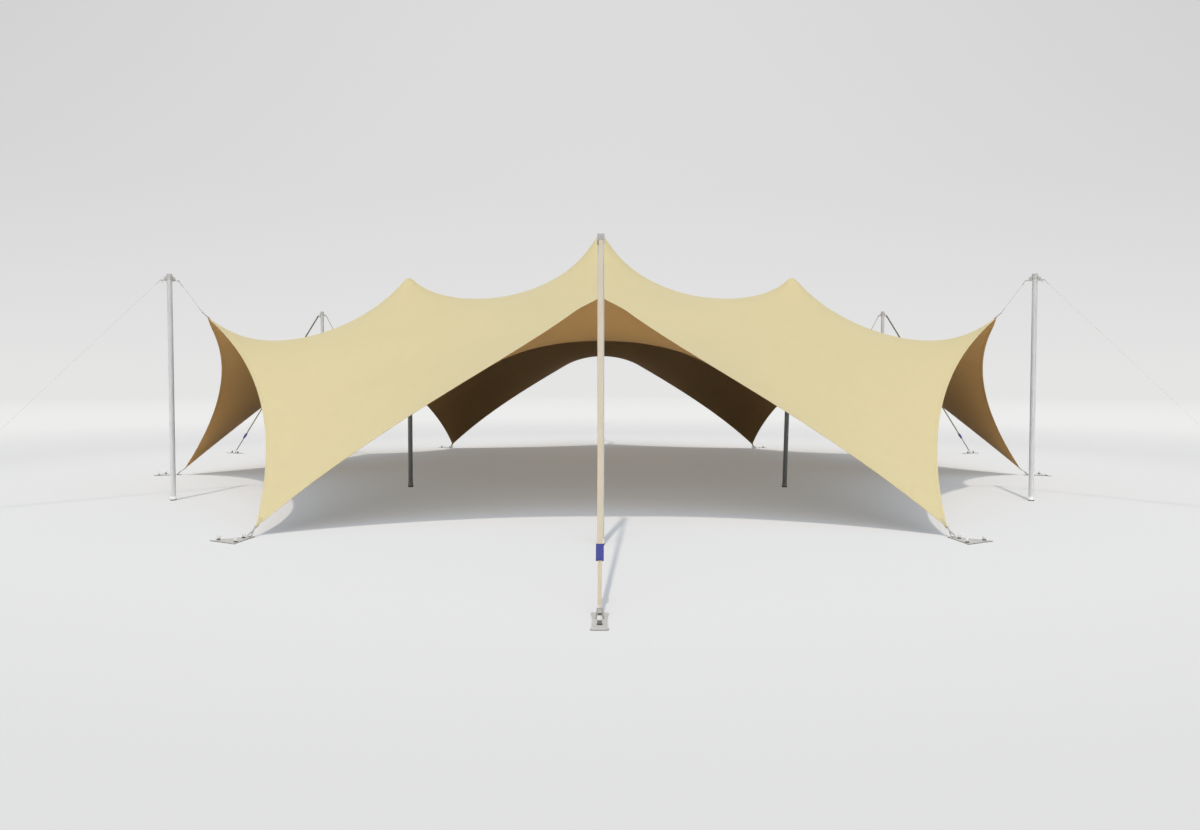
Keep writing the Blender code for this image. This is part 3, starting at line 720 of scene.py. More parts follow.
PLAN = (rc[:, :1] * E1 + rc[:, 1:] * E2) * CORNER_R / n_net

face_n = np.cross(P[tris[:, 1]] - P[tris[:, 0]], P[tris[:, 2]] - P[tris[:, 0]])
N = np.zeros_like(P)
for c in range(3):
    for k in range(3):
        N[:, k] += np.bincount(tris[:, c], face_n[:, k], len(P))
N /= np.linalg.norm(N, axis=1)[:, None]

rim_ids = np.where(ring == n_net)[0]
ang = np.degrees(np.arctan2(PLAN[rim_ids, 0], -PLAN[rim_ids, 1]))
rim_ids = rim_ids[np.argsort(ang)]                      # once round, from the back
R = len(rim_ids)

top, bot = P + N * SKIN / 2, P - N * SKIN / 2
verts = np.concatenate([top, bot])
count = len(P)
tri_all = np.concatenate([tris, tris[:, ::-1] + count])
a, b = rim_ids, np.roll(rim_ids, -1)
rim_tris = np.concatenate([np.stack([b, a, a + count], 1), np.stack([b, a + count, b + count], 1)])
# the rim's faces look away from the middle
v0 = verts[rim_tris[0]]
out_n = np.cross(v0[1] - v0[0], v0[2] - v0[0])
if out_n[:2] @ v0[0][:2] < 0:
    rim_tris = rim_tris[:, ::-1]
tri_all = np.concatenate([tri_all, rim_tris])
me = bpy.data.meshes.new("canopy")
me.vertices.add(len(verts))
me.vertices.foreach_set("co", verts.astype(np.float32).ravel())
me.loops.add(len(tri_all) * 3)
me.loops.foreach_set("vertex_index", tri_all.astype(np.int32).ravel())
me.polygons.add(len(tri_all))
me.polygons.foreach_set("loop_start", np.arange(0, len(tri_all) * 3, 3, dtype=np.int32))
me.materials.append(M_TOP)
me.materials.append(M_IN)
mat_i = np.zeros(len(tri_all), np.int32)
mat_i[len(tris):2 * len(tris)] = 1
me.polygons.foreach_set("material_index", mat_i)
uv_all = np.concatenate([PLAN, PLAN])[tri_all.ravel()]
lay = me.uv_layers.new(name="flat")
lay.data.foreach_set("uv", uv_all.astype(np.float32).ravel())
me.update(calc_edges=True)
me.validate()
me.shade_smooth()
me.set_sharp_from_angle(angle=math.radians(55))
canopy = place("canopy", me, replaces=["canopy_leg_" + s for s in CORNER_NAMES.values()]
               + ["canopy_bay_" + s for s in SIDE_NAMES.values()])


def surface_under(x, y):
    """Height of the sheet's brown face over a point on the ground, near a peak."""
    d2 = ((P[:, :2] - (x, y)) ** 2).sum(1)
    near = set(np.argsort(d2)[:60].tolist())
    best = None
    for t in tris[np.isin(tris, list(near)).any(1)]:
        q = bot[t]
        m = np.array([q[1, :2] - q[0, :2], q[2, :2] - q[0, :2]]).T
        det = np.linalg.det(m)
        if abs(det) < 1e-12:
            continue
        u, v = np.linalg.solve(m, np.array([x, y]) - q[0, :2])
        if u > -1e-6 and v > -1e-6 and u + v < 1 + 1e-6:
            z = q[0, 2] + u * (q[1, 2] - q[0, 2]) + v * (q[2, 2] - q[0, 2])
            best = z if best is None else min(best, z)
    return best


# hems: a folded band along each of the twelve edges, narrowing into the points
stops = [k for k in range(R) if rim_ids[k] in keep]
HEM_W, HEM_RISE = 0.038, 0.0011
rim_P, rim_N = P[rim_ids], N[rim_ids]
for s in range(len(stops)):
    k0, k1 = stops[s], stops[(s + 1) % len(stops)]
    span = (k1 - k0) % R
    ids = [(k0 + i) % R for i in range(span + 1)]
    pts, nrm = rim_P[ids], rim_N[ids].copy()
    nrm[0], nrm[-1] = nrm[1], nrm[-2]
    seg = np.linalg.norm(np.diff(pts, axis=0), axis=1)
    run = np.concatenate([[0], np.cumsum(seg)])
    total = run[-1]
    # extra stations close to the points, where the band narrows
    want = np.unique(np.concatenate([run, np.linspace(0, 0.25, 12), total - np.linspace(0, 0.25, 12)]))
    want = want[np.concatenate([[True], np.diff(want) > 0.004])]
    want[-1] = total
    pts2 = np.stack([np.interp(want, run, pts[:, c]) for c in range(3)], 1)
    nrm2 = np.stack([np.interp(want, run, nrm[:, c]) for c in range(3)], 1)
    nrm2 /= np.linalg.norm(nrm2, axis=1)[:, None]
    tang = np.gradient(pts2, axis=0)
    tang /= np.linalg.norm(tang, axis=1)[:, None]
    inward = np.cross(nrm2, tang)
    centre_dir = -pts2 * (1, 1, 0)
    sgn = np.sign((inward * centre_dir).sum(1).sum())
    inward *= sgn
    inward /= np.linalg.norm(inward, axis=1)[:, None]

    def half_angle(at, other):
        """Half the angle of the sheet at a point, between its two edges."""
        p = rim_P[at]
        d1 = rim_P[(at + 3) % R] - p
        d2 = rim_P[(at - 3) % R] - p
        d1, d2 = d1 / np.linalg.norm(d1), d2 / np.linalg.norm(d2)
        return 0.5 * math.acos(max(-1, min(1, float(d1 @ d2))))

    t0, t1 = math.tan(min(1.2, half_angle(k0, 1))), math.tan(min(1.2, half_angle(k1, -1)))
    width = np.minimum(HEM_W, np.minimum(want * t0, (total - want) * t1) * 0.97 + 0.0008)
    h = SKIN / 2 + HEM_RISE
    part = Part([M_TOP_HEM, M_IN_HEM], uv="hem")
    sec = [(1.0, SKIN / 2 + 0.0001, 1), (0.96, h, 1), (0.5, h, 1), (0.04, h, 1), (0.0, h * 0.8, 0), (0.0, 0.0, 0),
           (0.0, -h * 0.8, 0), (0.04, -h, 1), (0.5, -h, 1), (0.96, -h, 1), (1.0, -SKIN / 2 - 0.0001, 1)]
    c = len(sec)
    V = []
    for k in range(len(want)):
        for fx, fz, inner in sec:
            out_by = -0.0016 if not inner else 0.0
            V.append(pts2[k] + inward[k] * (fx * width[k] + out_by) + nrm2[k] * fz)
    F, U, MI = [], [], []
    for k in range(len(want) - 1):
        for j in range(c - 1):
            F.append((k * c + j, k * c + j + 1, (k + 1) * c + j + 1, (k + 1) * c + j))
            va, vb = sec[j][0] * width[k], sec[j + 1][0] * width[k]
            vc, vd = sec[j + 1][0] * width[k + 1], sec[j][0] * width[k + 1]
            U.append([(want[k], va), (want[k], vb), (want[k + 1], vc), (want[k + 1], vd)])
            MI.append(0 if j < 5 else 1)
    test = np.cross(V[F[2][1]] - V[F[2][0]], V[F[2][2]] - V[F[2][0]])
    flip = test @ nrm2[0] < 0
    for want_mat in (0, 1):
        sel = [q for q in range(len(F)) if MI[q] == want_mat]
        if want_mat == 0:
            part.add(V, [F[q] for q in sel], 0, [U[q] for q in sel], flip=flip)
            base = 0
        else:
            o = len(part.v) - len(V)
            for q in sel:
                f = [i + o for i in F[q]]
                u = list(U[q])
                if flip:
                    f.reverse()
                    u.reverse()
                part.f.append(f)
                part.uvs += u
                part.m.append(1)
    hem_mesh = part.mesh("hem_%02d" % s, angle=60)
    lay = hem_mesh.uv_layers.new(name="flat")
    src = np.array(part.uvs, np.float32)
    lay.data.foreach_set("uv", src.ravel())
    place("hem_%02d" % s, hem_mesh)

# patches: a second layer sewn on where the sheet is pulled, on both faces
patch_pieces = []


def patch(name, centre, reach, side, mat, rise=0.0010):
    a0, b0 = rc[centre]
    da, db = rc[:, 0] - a0, rc[:, 1] - b0
    hexd = np.maximum.reduce([abs(da), abs(db), abs(da - db)])
    sel = tris[(hexd[tris] <= reach).all(1)]
    used = np.unique(sel)
    new = {int(v): k for k, v in enumerate(used)}
    m = len(used)
    base = P[used] + N[used] * (side * SKIN / 2)
    up = N[used] * side
    lift = np.where(hexd[used] >= reach, 0.0001, rise)
    # a narrow step down to the cloth at the patch's own rim
    V = base + up * lift[:, None]
    pos = P[used]
    dist = np.linalg.norm(pos - P[centre], axis=1)
    part = Part([mat], uv="hem")
    F, U = [], []
    size = max(dist.max(), 1e-6)
    rim_v = {int(v) for v in used[hexd[used] >= reach]}
    rim_pos = P[sorted(rim_v)]
    edge_d = np.array([np.linalg.norm(rim_pos - p, axis=1).min() for p in pos])
    az = np.arctan2(pos[:, 1] - P[centre][1], pos[:, 0] - P[centre][0]) * size
    for t in sel:
        q = [new[int(i)] for i in t]
        if side < 0:
            q.reverse()
        F.append(q)
        U.append([(az[i], edge_d[i]) for i in q])
    part.add(V, F, 0, U)
    mesh = part.mesh(name, angle=60)
    lay = mesh.uv_layers.new(name="flat")
    order = np.concatenate([PLAN[used][f] for f in F])
    lay.data.foreach_set("uv", order.astype(np.float32).ravel())
    ob = place(name, mesh)
    patch_pieces.append(ob)
    return ob


def knot_at(x, y):
    return int(np.argmin(((P[:, :2] - (x, y)) ** 2).sum(1)))


for i in sorted(keep):
    p = P[i]
    deg = round(math.degrees(math.atan2(p[0], -p[1])) / 30) * 30
    nm = (CORNER_NAMES if p[2] < 1 else SIDE_NAMES)[180 if deg == -180 else deg]
    kind = "corner" if p[2] < 1 else "tip"
    patch("patch_%s_%s_outside" % (kind, nm), i, 6, 1, M_TOP_HEM)
    patch("patch_%s_%s_inside" % (kind, nm), i, 6, -1, M_IN_HEM)
PEAKS = {"centre": CENTRE_HEAD, "left": INNER_LEFT, "right": INNER_RIGHT_HEAD, "back": INNER_BACK}
for nm, (x, y) in PEAKS.items():
    patch("patch_peak_%s_inside" % nm, knot_at(x, y), 4, -1, M_IN_HEM)

# ------------------------------------------------------------------ outer poles
FOOT_RUBBER = [(0.0380, 0.0), (0.0398, 0.0012), (0.0402, 0.0030), (0.0402, 0.0060), (0.0394, 0.0068), (0.0402, 0.0076),
               (0.0402, 0.0112), (0.0396, 0.0127), (0.0380, 0.0134), (0.0, 0.0134)]
FOOT_COLLAR = [(0.0366, 0.0130), (0.0384, 0.0136), (0.0390, 0.0152), (0.0390, 0.0515), (0.0384, 0.0542),
               (0.0366, 0.0556), (0.0334, 0.0560), (0.0330, 0.0545)]


def lathe_open(profile, sides):
    """Turned skin, open at both ends unless the profile closes on the axis."""
    return lathe(profile, sides, cap_low=profile[0][0] > 0.0001 and profile[0][1] == 0.0, cap_high=False)


def shackle(part, sign, mat_body, mat_bolt):
    """Bow shackle lying flat, its pin through the ear and its crown outwards."""
    w, x0, x1 = 0.0235, 0.056, CROWN_X
    rod = 0.0048
    arc = [(x0, w), (x1 - 0.020, w)]
    for k in range(1, 8):
        t = math.pi / 2 * k / 8
        arc.append((x1 - 0.020 + 0.020 * math.sin(t), w - 0.020 + 0.020 * math.cos(t)))
    arc.append((x1, w - 0.0205))
    full = arc + [(x, -y) for x, y in reversed(arc)]
    part.add(*tube([(sign * x, y, SHACKLE_Z) for x, y in full], rod, 12), mat_body)
    for s in (1, -1):                               # eyes that the pin goes through
        eye = lathe([(0.0062, -0.0048), (0.0085, -0.0042), (0.0094, -0.0020), (0.0094, 0.0020),
                     (0.0085, 0.0042), (0.0062, 0.0048)], 20)
        part.add(*moved(eye, (sign * x0, s * w, SHACKLE_Z), Matrix.Rotation(math.pi / 2, 3, "X")), mat_body)
    pin = lathe([(0.0045, -0.031), (0.0050, -0.030), (0.0050, 0.030), (0.0045, 0.031)], 14)
    part.add(*moved(pin, (sign * x0, 0, SHACKLE_Z), Matrix.Rotation(math.pi / 2, 3, "X")), mat_bolt)
    part.add(*hex_nut(0.0092, 0.0070, (sign * x0, 0.0283, SHACKLE_Z), "y"), mat_bolt)
    part.add(*hex_nut(0.0092, 0.0062, (sign * x0, -0.0283, SHACKLE_Z), "-y"), mat_bolt)


pole = Part([M_POLE, M_HEAD, M_RUBBER, M_COLLAR, M_BOLT])
pole.add(*lathe_open(FOOT_RUBBER, 40), 2)
pole.add(*lathe(FOOT_COLLAR, 40, False, False), 3)
pole.add(*lathe([(TUBE_R, 0.050), (TUBE_R, 0.30), (TUBE_R, 0.9), (TUBE_R, 1.6), (TUBE_R, 2.3), (TUBE_R, 2.93)], 48,
                False, False), 0)
# head: a sleeve over the tube with a welded top plate
pole.add(*lathe([(0.0332, 2.9215), (0.0345, 2.9218), (0.0350, 2.9228), (0.0350, 2.9962), (0.0348, 2.9980),
                 (0.0341, 2.9993), (0.0328, 3.0000), (0.0240, 3.0000), (0.0, 3.0000)], 48, False, False), 1)
pole.add(*tube([(0.0349 * math.cos(2 * math.pi * k / 40), 0.0349 * math.sin(2 * math.pi * k / 40), 2.9895)
                for k in range(40)], 0.0011, 8, closed=True), 1)
ear = [(-0.073, -0.090), (-0.069, -0.095), (0.069, -0.095), (0.073, -0.090), (0.073, -0.062), (0.068, -0.047),
       (0.056, -0.036), (0.028, -0.028), (-0.028, -0.028), (-0.056, -0.036), (-0.068, -0.047), (-0.073, -0.062)]
ear = [(p.x, p.y) for p in rounded([(x, z, 0) for x, z in ear], 0.008, 4)]
ev, ef = plate(ear, -0.005, 0.005, 0.0012)
pole.add([(x, -z, H + y) for x, y, z in ev], ef, 1)
for sx in (1, -1):                                  # weld beads where the ear meets the sleeve
    for sy in (1, -1):
        zs = [2.912 + 0.005 * k for k in range(14)]
        bead = [(sx * (0.0350 + 0.0006 * math.sin(k * 2.1)), sy * 0.0058, z) for k, z in enumerate(zs)]
        pole.add(*tube(bead, [0.0026 + 0.0005 * math.sin(k * 1.7) for k in range(len(zs))], 8), 1)
shackle(pole, 1, 1, 4)
shackle(pole, -1, 1, 4)
pole_mesh = pole.mesh("outer_pole")
for deg, nm in SIDE_NAMES.items():
    place("outer_pole_" + nm, pole_mesh, polar(POLE_R, deg), math.radians(deg - 90),
          replaces=["pole_" + nm])

# ------------------------------------------------------------------ inner poles


def inner_pole(name, node, foot, head):
    top_z = 99.0
    for k in range(7):
        rho = DOME_R * k / 6
        drop = DOME_R - math.sqrt(max(DOME_R ** 2 - rho ** 2, 0.0))
        for s in range(12):
            t = 2 * math.pi * s / 12
            top_z = min(top_z, surface_under(head[0] + rho * math.cos(t), head[1] + rho * math.sin(t)) + drop)
    top_z -= 0.0016
    base = top_z - DOME_R
    dome = [(0.0335, base - 0.052), (0.0348, base - 0.050), (0.0350, base - 0.016), (0.0358, base - 0.012),
            (DOME_R, base - 0.006)]
    for k in range(12):
        t = math.radians(90) * k / 12
        dome.append((DOME_R * math.cos(t), base + DOME_R * math.sin(t)))
    dome.append((0.0, top_z))
    part = Part([M_INNER_PAINTED_SHADE, M_DOME, M_RUBBER, M_COLLAR_IN])
    part.add(*lathe_open(FOOT_RUBBER, 40), 2)
    part.add(*lathe(FOOT_COLLAR, 40, False, False), 3)
    part.add(*lathe([(TUBE_R, 0.050), (TUBE_R, 0.3), (TUBE_R, 1.0), (TUBE_R, 1.8), (TUBE_R, base - 0.03)], 48,
                    False, False), 0)
    part.add(*lathe(dome, 40, False, False), 1)
    dx, dy = head[0] - foot[0], head[1] - foot[1]
    if dx or dy:
        part.v = [(x + dx * z / top_z, y + dy * z / top_z, z) for x, y, z in part.v]
    place(name, part.mesh(name), (foot[0], foot[1], 0), 0.0, replaces=[node])


inner_pole("inner_pole_centre", "pole_centre", (0, 0), CENTRE_HEAD)
inner_pole("inner_pole_left", "pole_inner_left", INNER_LEFT, INNER_LEFT)
inner_pole("inner_pole_right", "pole_inner_right", INNER_RIGHT_FOOT, INNER_RIGHT_HEAD)
inner_pole("inner_pole_back", "pole_inner_back", INNER_BACK, INNER_BACK)

# ------------------------------------------------------------------ ground anchors
SHANK = [(0.0148, 0.0060), (0.0148, 0.0310)]
STAKE_HEAD = [(0.0148, 0.0306), (0.0168, 0.0310), (0.0181, 0.0318), (0.0185, 0.0332), (0.0185, 0.0508), (0.0181, 0.0530),
              (0.0166, 0.0552), (0.0135, 0.0568), (0.0085, 0.0577), (0.0, 0.0580)]
# the collar's dark finish is painted contact shadow
COLLAR = [(0.0150, 0.0079), (0.0192, 0.0079), (0.0197, 0.0090), (0.0197, 0.0124), (0.0190, 0.0135), (0.0150, 0.0138)]


def stake(part, x, y, rise, mat_head, mat_low, mat_painted_shadow):
    """A stake driven home to its head, which stands rise above the drawn level; its collar carries painted contact
    shadow.
    """
    part.add(*moved(lathe([SHANK[0], (SHANK[1][0], SHANK[1][1] + rise)], 28, False, False), (x, y, 0)), mat_low)
    part.add(*moved(lathe(COLLAR, 28, False, False), (x, y, 0)), mat_painted_shadow)
    part.add(*moved(lathe([(q, z + rise) for q, z in STAKE_HEAD], 28, False, False), (x, y, 0)), mat_head)


def plate_with_shaded_edge(vf, level, above, below):
    """A plate with one material above a level and a darker one on its edge below, as painted shade on the plate's
    sides.
    """
    v, f = vf
    return v, f, [above if sum(v[i][2] for i in q) / len(q) > level else below for q in f]


def trapezoid(base, apex, base_w, apex_w, radius):
    b, a = Vector((base[0], 0, base[1])), Vector((apex[0], 0, apex[1]))
    Y = Vector((0, 1, 0))
    return rounded([b + Y * base_w, a + Y * apex_w, a - Y * apex_w, b - Y * base_w], radius, 6)


def saddle(part, x, half_y, rod, mat, mat_bolt, z_mid=0.0145):
    """Bent strip over a ring's base bar, with a flange and a bolt on each side."""
    arch = []
    r = rod + 0.0006
    t = 0.0028
    inner = [(x + r * math.cos(a), z_mid + r * math.sin(a)) for a in [math.pi * k / 10 for k in range(11)]]
    outer = [(x + (r + t) * math.cos(a), z_mid + (r + t) * math.sin(a)) for a in [math.pi * k / 10 for k in range(11)]]
    prof_o = [(x + 0.0155, PLATE_T), (x + 0.0155, PLATE_T + t), (x + r + t, PLATE_T + t)] + outer + \
             [(x - r - t, PLATE_T + t), (x - 0.0155, PLATE_T + t), (x - 0.0155, PLATE_T)]
    prof_i = [(x + r, PLATE_T)] + inner + [(x - r, PLATE_T)]
    poly = prof_o + list(reversed(prof_i))
    m = len(poly)
    V = [(px, -half_y, pz) for px, pz in poly] + [(px, half_y, pz) for px, pz in poly]
    F = [(i, (i + 1) % m, (i + 1) % m + m, i + m) for i in range(m)]
    no, ni = len(prof_o), len(prof_i)
    # end faces as strips between the outer and the inner profile
    oi = [round(k * (no - 1) / (no - 1)) for k in range(no)]
    for off, flip in ((0, False), (m, True)):
        for k in range(no - 1):
            i0 = min(ni - 1, max(0, round((k - 2) * (ni - 1) / (no - 5))))
            i1 = min(ni - 1, max(0, round((k - 1) * (ni - 1) / (no - 5))))
            quad = [k + off, k + 1 + off, m - 1 - i1 + off, m - 1 - i0 + off]
            quad = list(dict.fromkeys(quad))
            if len(quad) > 2:
                F.append(tuple(quad if flip else reversed(quad)))
    part.add(V, F, mat)
    for sx in (1, -1):
        part.add(*hex_nut(0.0048, 0.0034, (x + sx * 0.0112, 0.0, PLATE_T + t), "z"), mat_bolt)


half_l, half_w = GUY_PLATE_L / 2, GUY_PLATE_W / 2
outline = []
steps = 20
CR = 0.016                          # radius of the plate's corners
for k in range(steps + 1):
    s = -1 + 2 * k / steps
    outline.append((s * (half_l - CR), -(half_w - GUY_PLATE_WAIST * (1 - s * s))))
for cx, cy, a0 in ((half_l - CR, -half_w + CR, -90), (half_l - CR, half_w - CR, 0)):
    for k in range(0 if a0 == 0 else 1, 7):
        t = math.radians(a0 + 90 * k / 6)
        outline.append((cx + CR * math.cos(t), cy + CR * math.sin(t)))
for k in range(1, steps + 1):
    s = 1 - 2 * k / steps
    outline.append((s * (half_l - CR), half_w - GUY_PLATE_WAIST * (1 - s * s)))
for cx, cy, a0 in ((-half_l + CR, half_w - CR, 90), (-half_l + CR, -half_w + CR, 180)):
    for k in range(0 if a0 == 180 else 1, 6 if a0 == 180 else 7):
        t = math.radians(a0 + 90 * k / 6)
        outline.append((cx + CR * math.cos(t), cy + CR * math.sin(t)))
clean = []
for p in outline:
    if not clean or (abs(p[0] - clean[-1][0]) + abs(p[1] - clean[-1][1])) > 1e-5:
        clean.append(p)
anchor = Part([M_ZINC, M_BOLT, M_EDGE_PAINTED_SHADE, M_STAKE_TOP, M_STAKE_LOW_PAINTED_SHADE, M_RING, M_STAKE_PAINTED_SHADOW])
anchor.add(*plate_with_shaded_edge(plate(clean, 0.0, PLATE_T, 0.0012), PLATE_T - 0.0008, 0, 2))
for sx in (1, -1):
    stake(anchor, sx * GUY_STAKE_X, 0.0, 0.008, 3, 4, 6)
anchor.add(*tube(trapezoid((-0.030, 0.0145), RING_APEX, 0.0265, 0.0140, 0.007), 0.0045, 12, closed=True), 5)
saddle(anchor, -0.030, 0.015, 0.005, 0, 1)
anchor_mesh = anchor.mesh("guy_anchor")
for deg, nm in SIDE_NAMES.items():
    place("guy_plate_" + nm, anchor_mesh, polar(GUY_ANCHOR_R[deg], deg), math.radians(deg - 90),
          replaces=["guy_anchor_" + nm])

b_r, a_r, h_w = CORNER_BASE_R, CORNER_APEX_R, CORNER_HALF_W
tri = [(a_r, -0.012)]
for k in range(0, 13):
    s = k / 12
    tri.append((a_r + 0.008 + s * (b_r - 0.024 - a_r), -(0.026 + s * (h_w - 0.032) - 0.030 * s * (1 - s))))
tri += [(b_r - 0.016, -h_w), (b_r - 0.004, -h_w + 0.006), (b_r, -h_w + 0.018)]
for k in range(1, 8):
    tri.append((b_r - 0.006 * math.sin(math.pi * k / 8), (-1 + k / 4) * (h_w - 0.018)))
tri += [(x, -y) for x, y in reversed(tri[:17])]
corner = Part([M_ZINC, M_BOLT, M_EDGE_LOW_PAINTED_SHADE, M_STAKE_TOP, M_STAKE_LOW_PAINTED_SHADE, M_RING, M_STAKE_PAINTED_SHADOW])
corner.add(*plate_with_shaded_edge(plate(tri, 0.0, PLATE_T, 0.0012), PLATE_T - 0.0008, 0, 2))
for x, y in ((7.435, -0.127), (7.435, 0.127), (7.240, 0.0)):
    stake(corner, x, y, -0.009, 3, 4, 6)
corner.add(*tube(trapezoid((7.176, 0.0145), (7.139, 0.050), 0.028, 0.017, 0.008), 0.0045, 12, closed=True), 5)
saddle(corner, 7.176, 0.013, 0.005, 0, 1)
corner_mesh = corner.mesh("corner_anchor")


def sideways(deg):
    """Where a corner plate's origin goes: off the tent's axis by its shift."""
    shift, t = CORNER_SHIFT.get(deg, 0.0), math.radians(deg)
    return (shift * math.cos(t), shift * math.sin(t), 0.0)


for deg, nm in CORNER_NAMES.items():
    place("corner_plate_" + nm, corner_mesh, sideways(deg), math.radians(deg - 90),
          replaces=["corner_anchor_" + nm])

# ------------------------------------------------------------------ straps


def loop_points(centre, d, n, r, start, end, steps=12):
    """Arc round a rod: angles are measured from -d towards n."""
    out = []
    for k in range(steps + 1):
        t = math.radians(start + (end - start) * k / steps)
        out.append((centre[0] + r * (-math.cos(t) * d[0] + math.sin(t) * n[0]),
                    centre[1] + r * (-math.cos(t) * d[1] + math.sin(t) * n[1])))
    return out


def looped_strap(part, a, b, ra, rb, w_a, w_b, t, sew_a, sew_b, change=None, mat=0, thread=1, under=None, gather=None):
    """Strap between two bars: looped round each and sewn back on itself.

    a and b are the bars' centres in the XZ plane, ra and rb their radii.
    change is (fraction, new half width) where the strap goes on narrower;
    gather is the half width it is bunched to round the lower bar.
    """
    a, b = np.array(a, float), np.array(b, float)
    L = np.linalg.norm(b - a)
    d = (b - a) / L
    n = np.array([-d[1], d[0]])
    if n[1] < 0:
        n = -n

    def at(s, off):
        return tuple(a + d * s + n * off)

    g = t / 2 + 0.00015
    ra_, rb_ = ra + t / 2 + 0.0004, rb + t / 2 + 0.0004
    # sewn end under the strap, round the upper bar, along, round the lower bar, sewn end again
    path, width = [], []

    def go(p, w):
        path.append(p)
        width.append(w)

    neck = 0.022
    for s in np.linspace(sew_a, neck, 8):
        go(at(s, -g), w_a)
    for s, o in ((neck * 0.6, -ra_ * 0.75), (neck * 0.3, -ra_ * 0.97)):
        go(at(s, o), w_a)
    for k in range(13):
        t_ = math.radians(-90 + 180 * k / 12)
        go(tuple(a + ra_ * (-math.cos(t_) * d + math.sin(t_) * n)), w_a)
    for s, o in ((neck * 0.3, ra_ * 0.97), (neck * 0.6, ra_ * 0.75)):
        go(at(s, o), w_a)
    go(at(neck, g), w_a)
    stations = [sew_a]
    cut = None
    if change:
        cut = change[0] * L
        stations += list(np.linspace(sew_a + 0.02, cut, 24)) + [cut + 0.0015] + list(np.linspace(cut + 0.02, L - sew_b, 6))
    else:
        stations += list(np.linspace(sew_a + 0.02, L - sew_b, 8))
    for s in stations:
        off = g
        if s > sew_a + 0.01 and s < L - sew_b - 0.01:
            off = 0.0
        w = w_a if (cut is None or s <= cut) else w_b
        go(at(s, off), w)
    w_g = w_b if gather is None else gather
    for s in (L - neck,):
        go(at(s, g), (w_b + w_g) / 2)
    for s, o in ((L - neck * 0.6, rb_ * 0.75), (L - neck * 0.3, rb_ * 0.97)):
        go(at(s, o), w_g)
    for k in range(13):
        t_ = math.radians(90 - 180 * k / 12)
        go(tuple(b + rb_ * (math.cos(t_) * d + math.sin(t_) * n)), w_g)
    for s, o in ((L - neck * 0.3, -rb_ * 0.97), (L - neck * 0.6, -rb_ * 0.75)):
        go(at(s, o), w_g)
    for k, s in enumerate(np.linspace(L - neck, L - sew_b, 8)):
        go(at(s, -g), w_b if k else (w_b + w_g) / 2)
    strap_ribbon(part, path, width, t, mat, under=None if under is None else (under, Vector((n[0], 0, n[1]))))
    if thread is not None:
        for side in (1, -1):
            nn = n * side
            o = g + t / 2
            stitch_rows(part, tuple(a + d * (neck + 0.012) + nn * o), d, nn, w_a * 0.78, sew_a - neck - 0.022,
                        BOX_X, thread)
            stitch_rows(part, tuple(a + d * (L - sew_b + 0.010) + nn * o), d, nn, w_b * 0.78, sew_b - neck - 0.022,
                        BOX_X, thread)
    return a, d, n, L


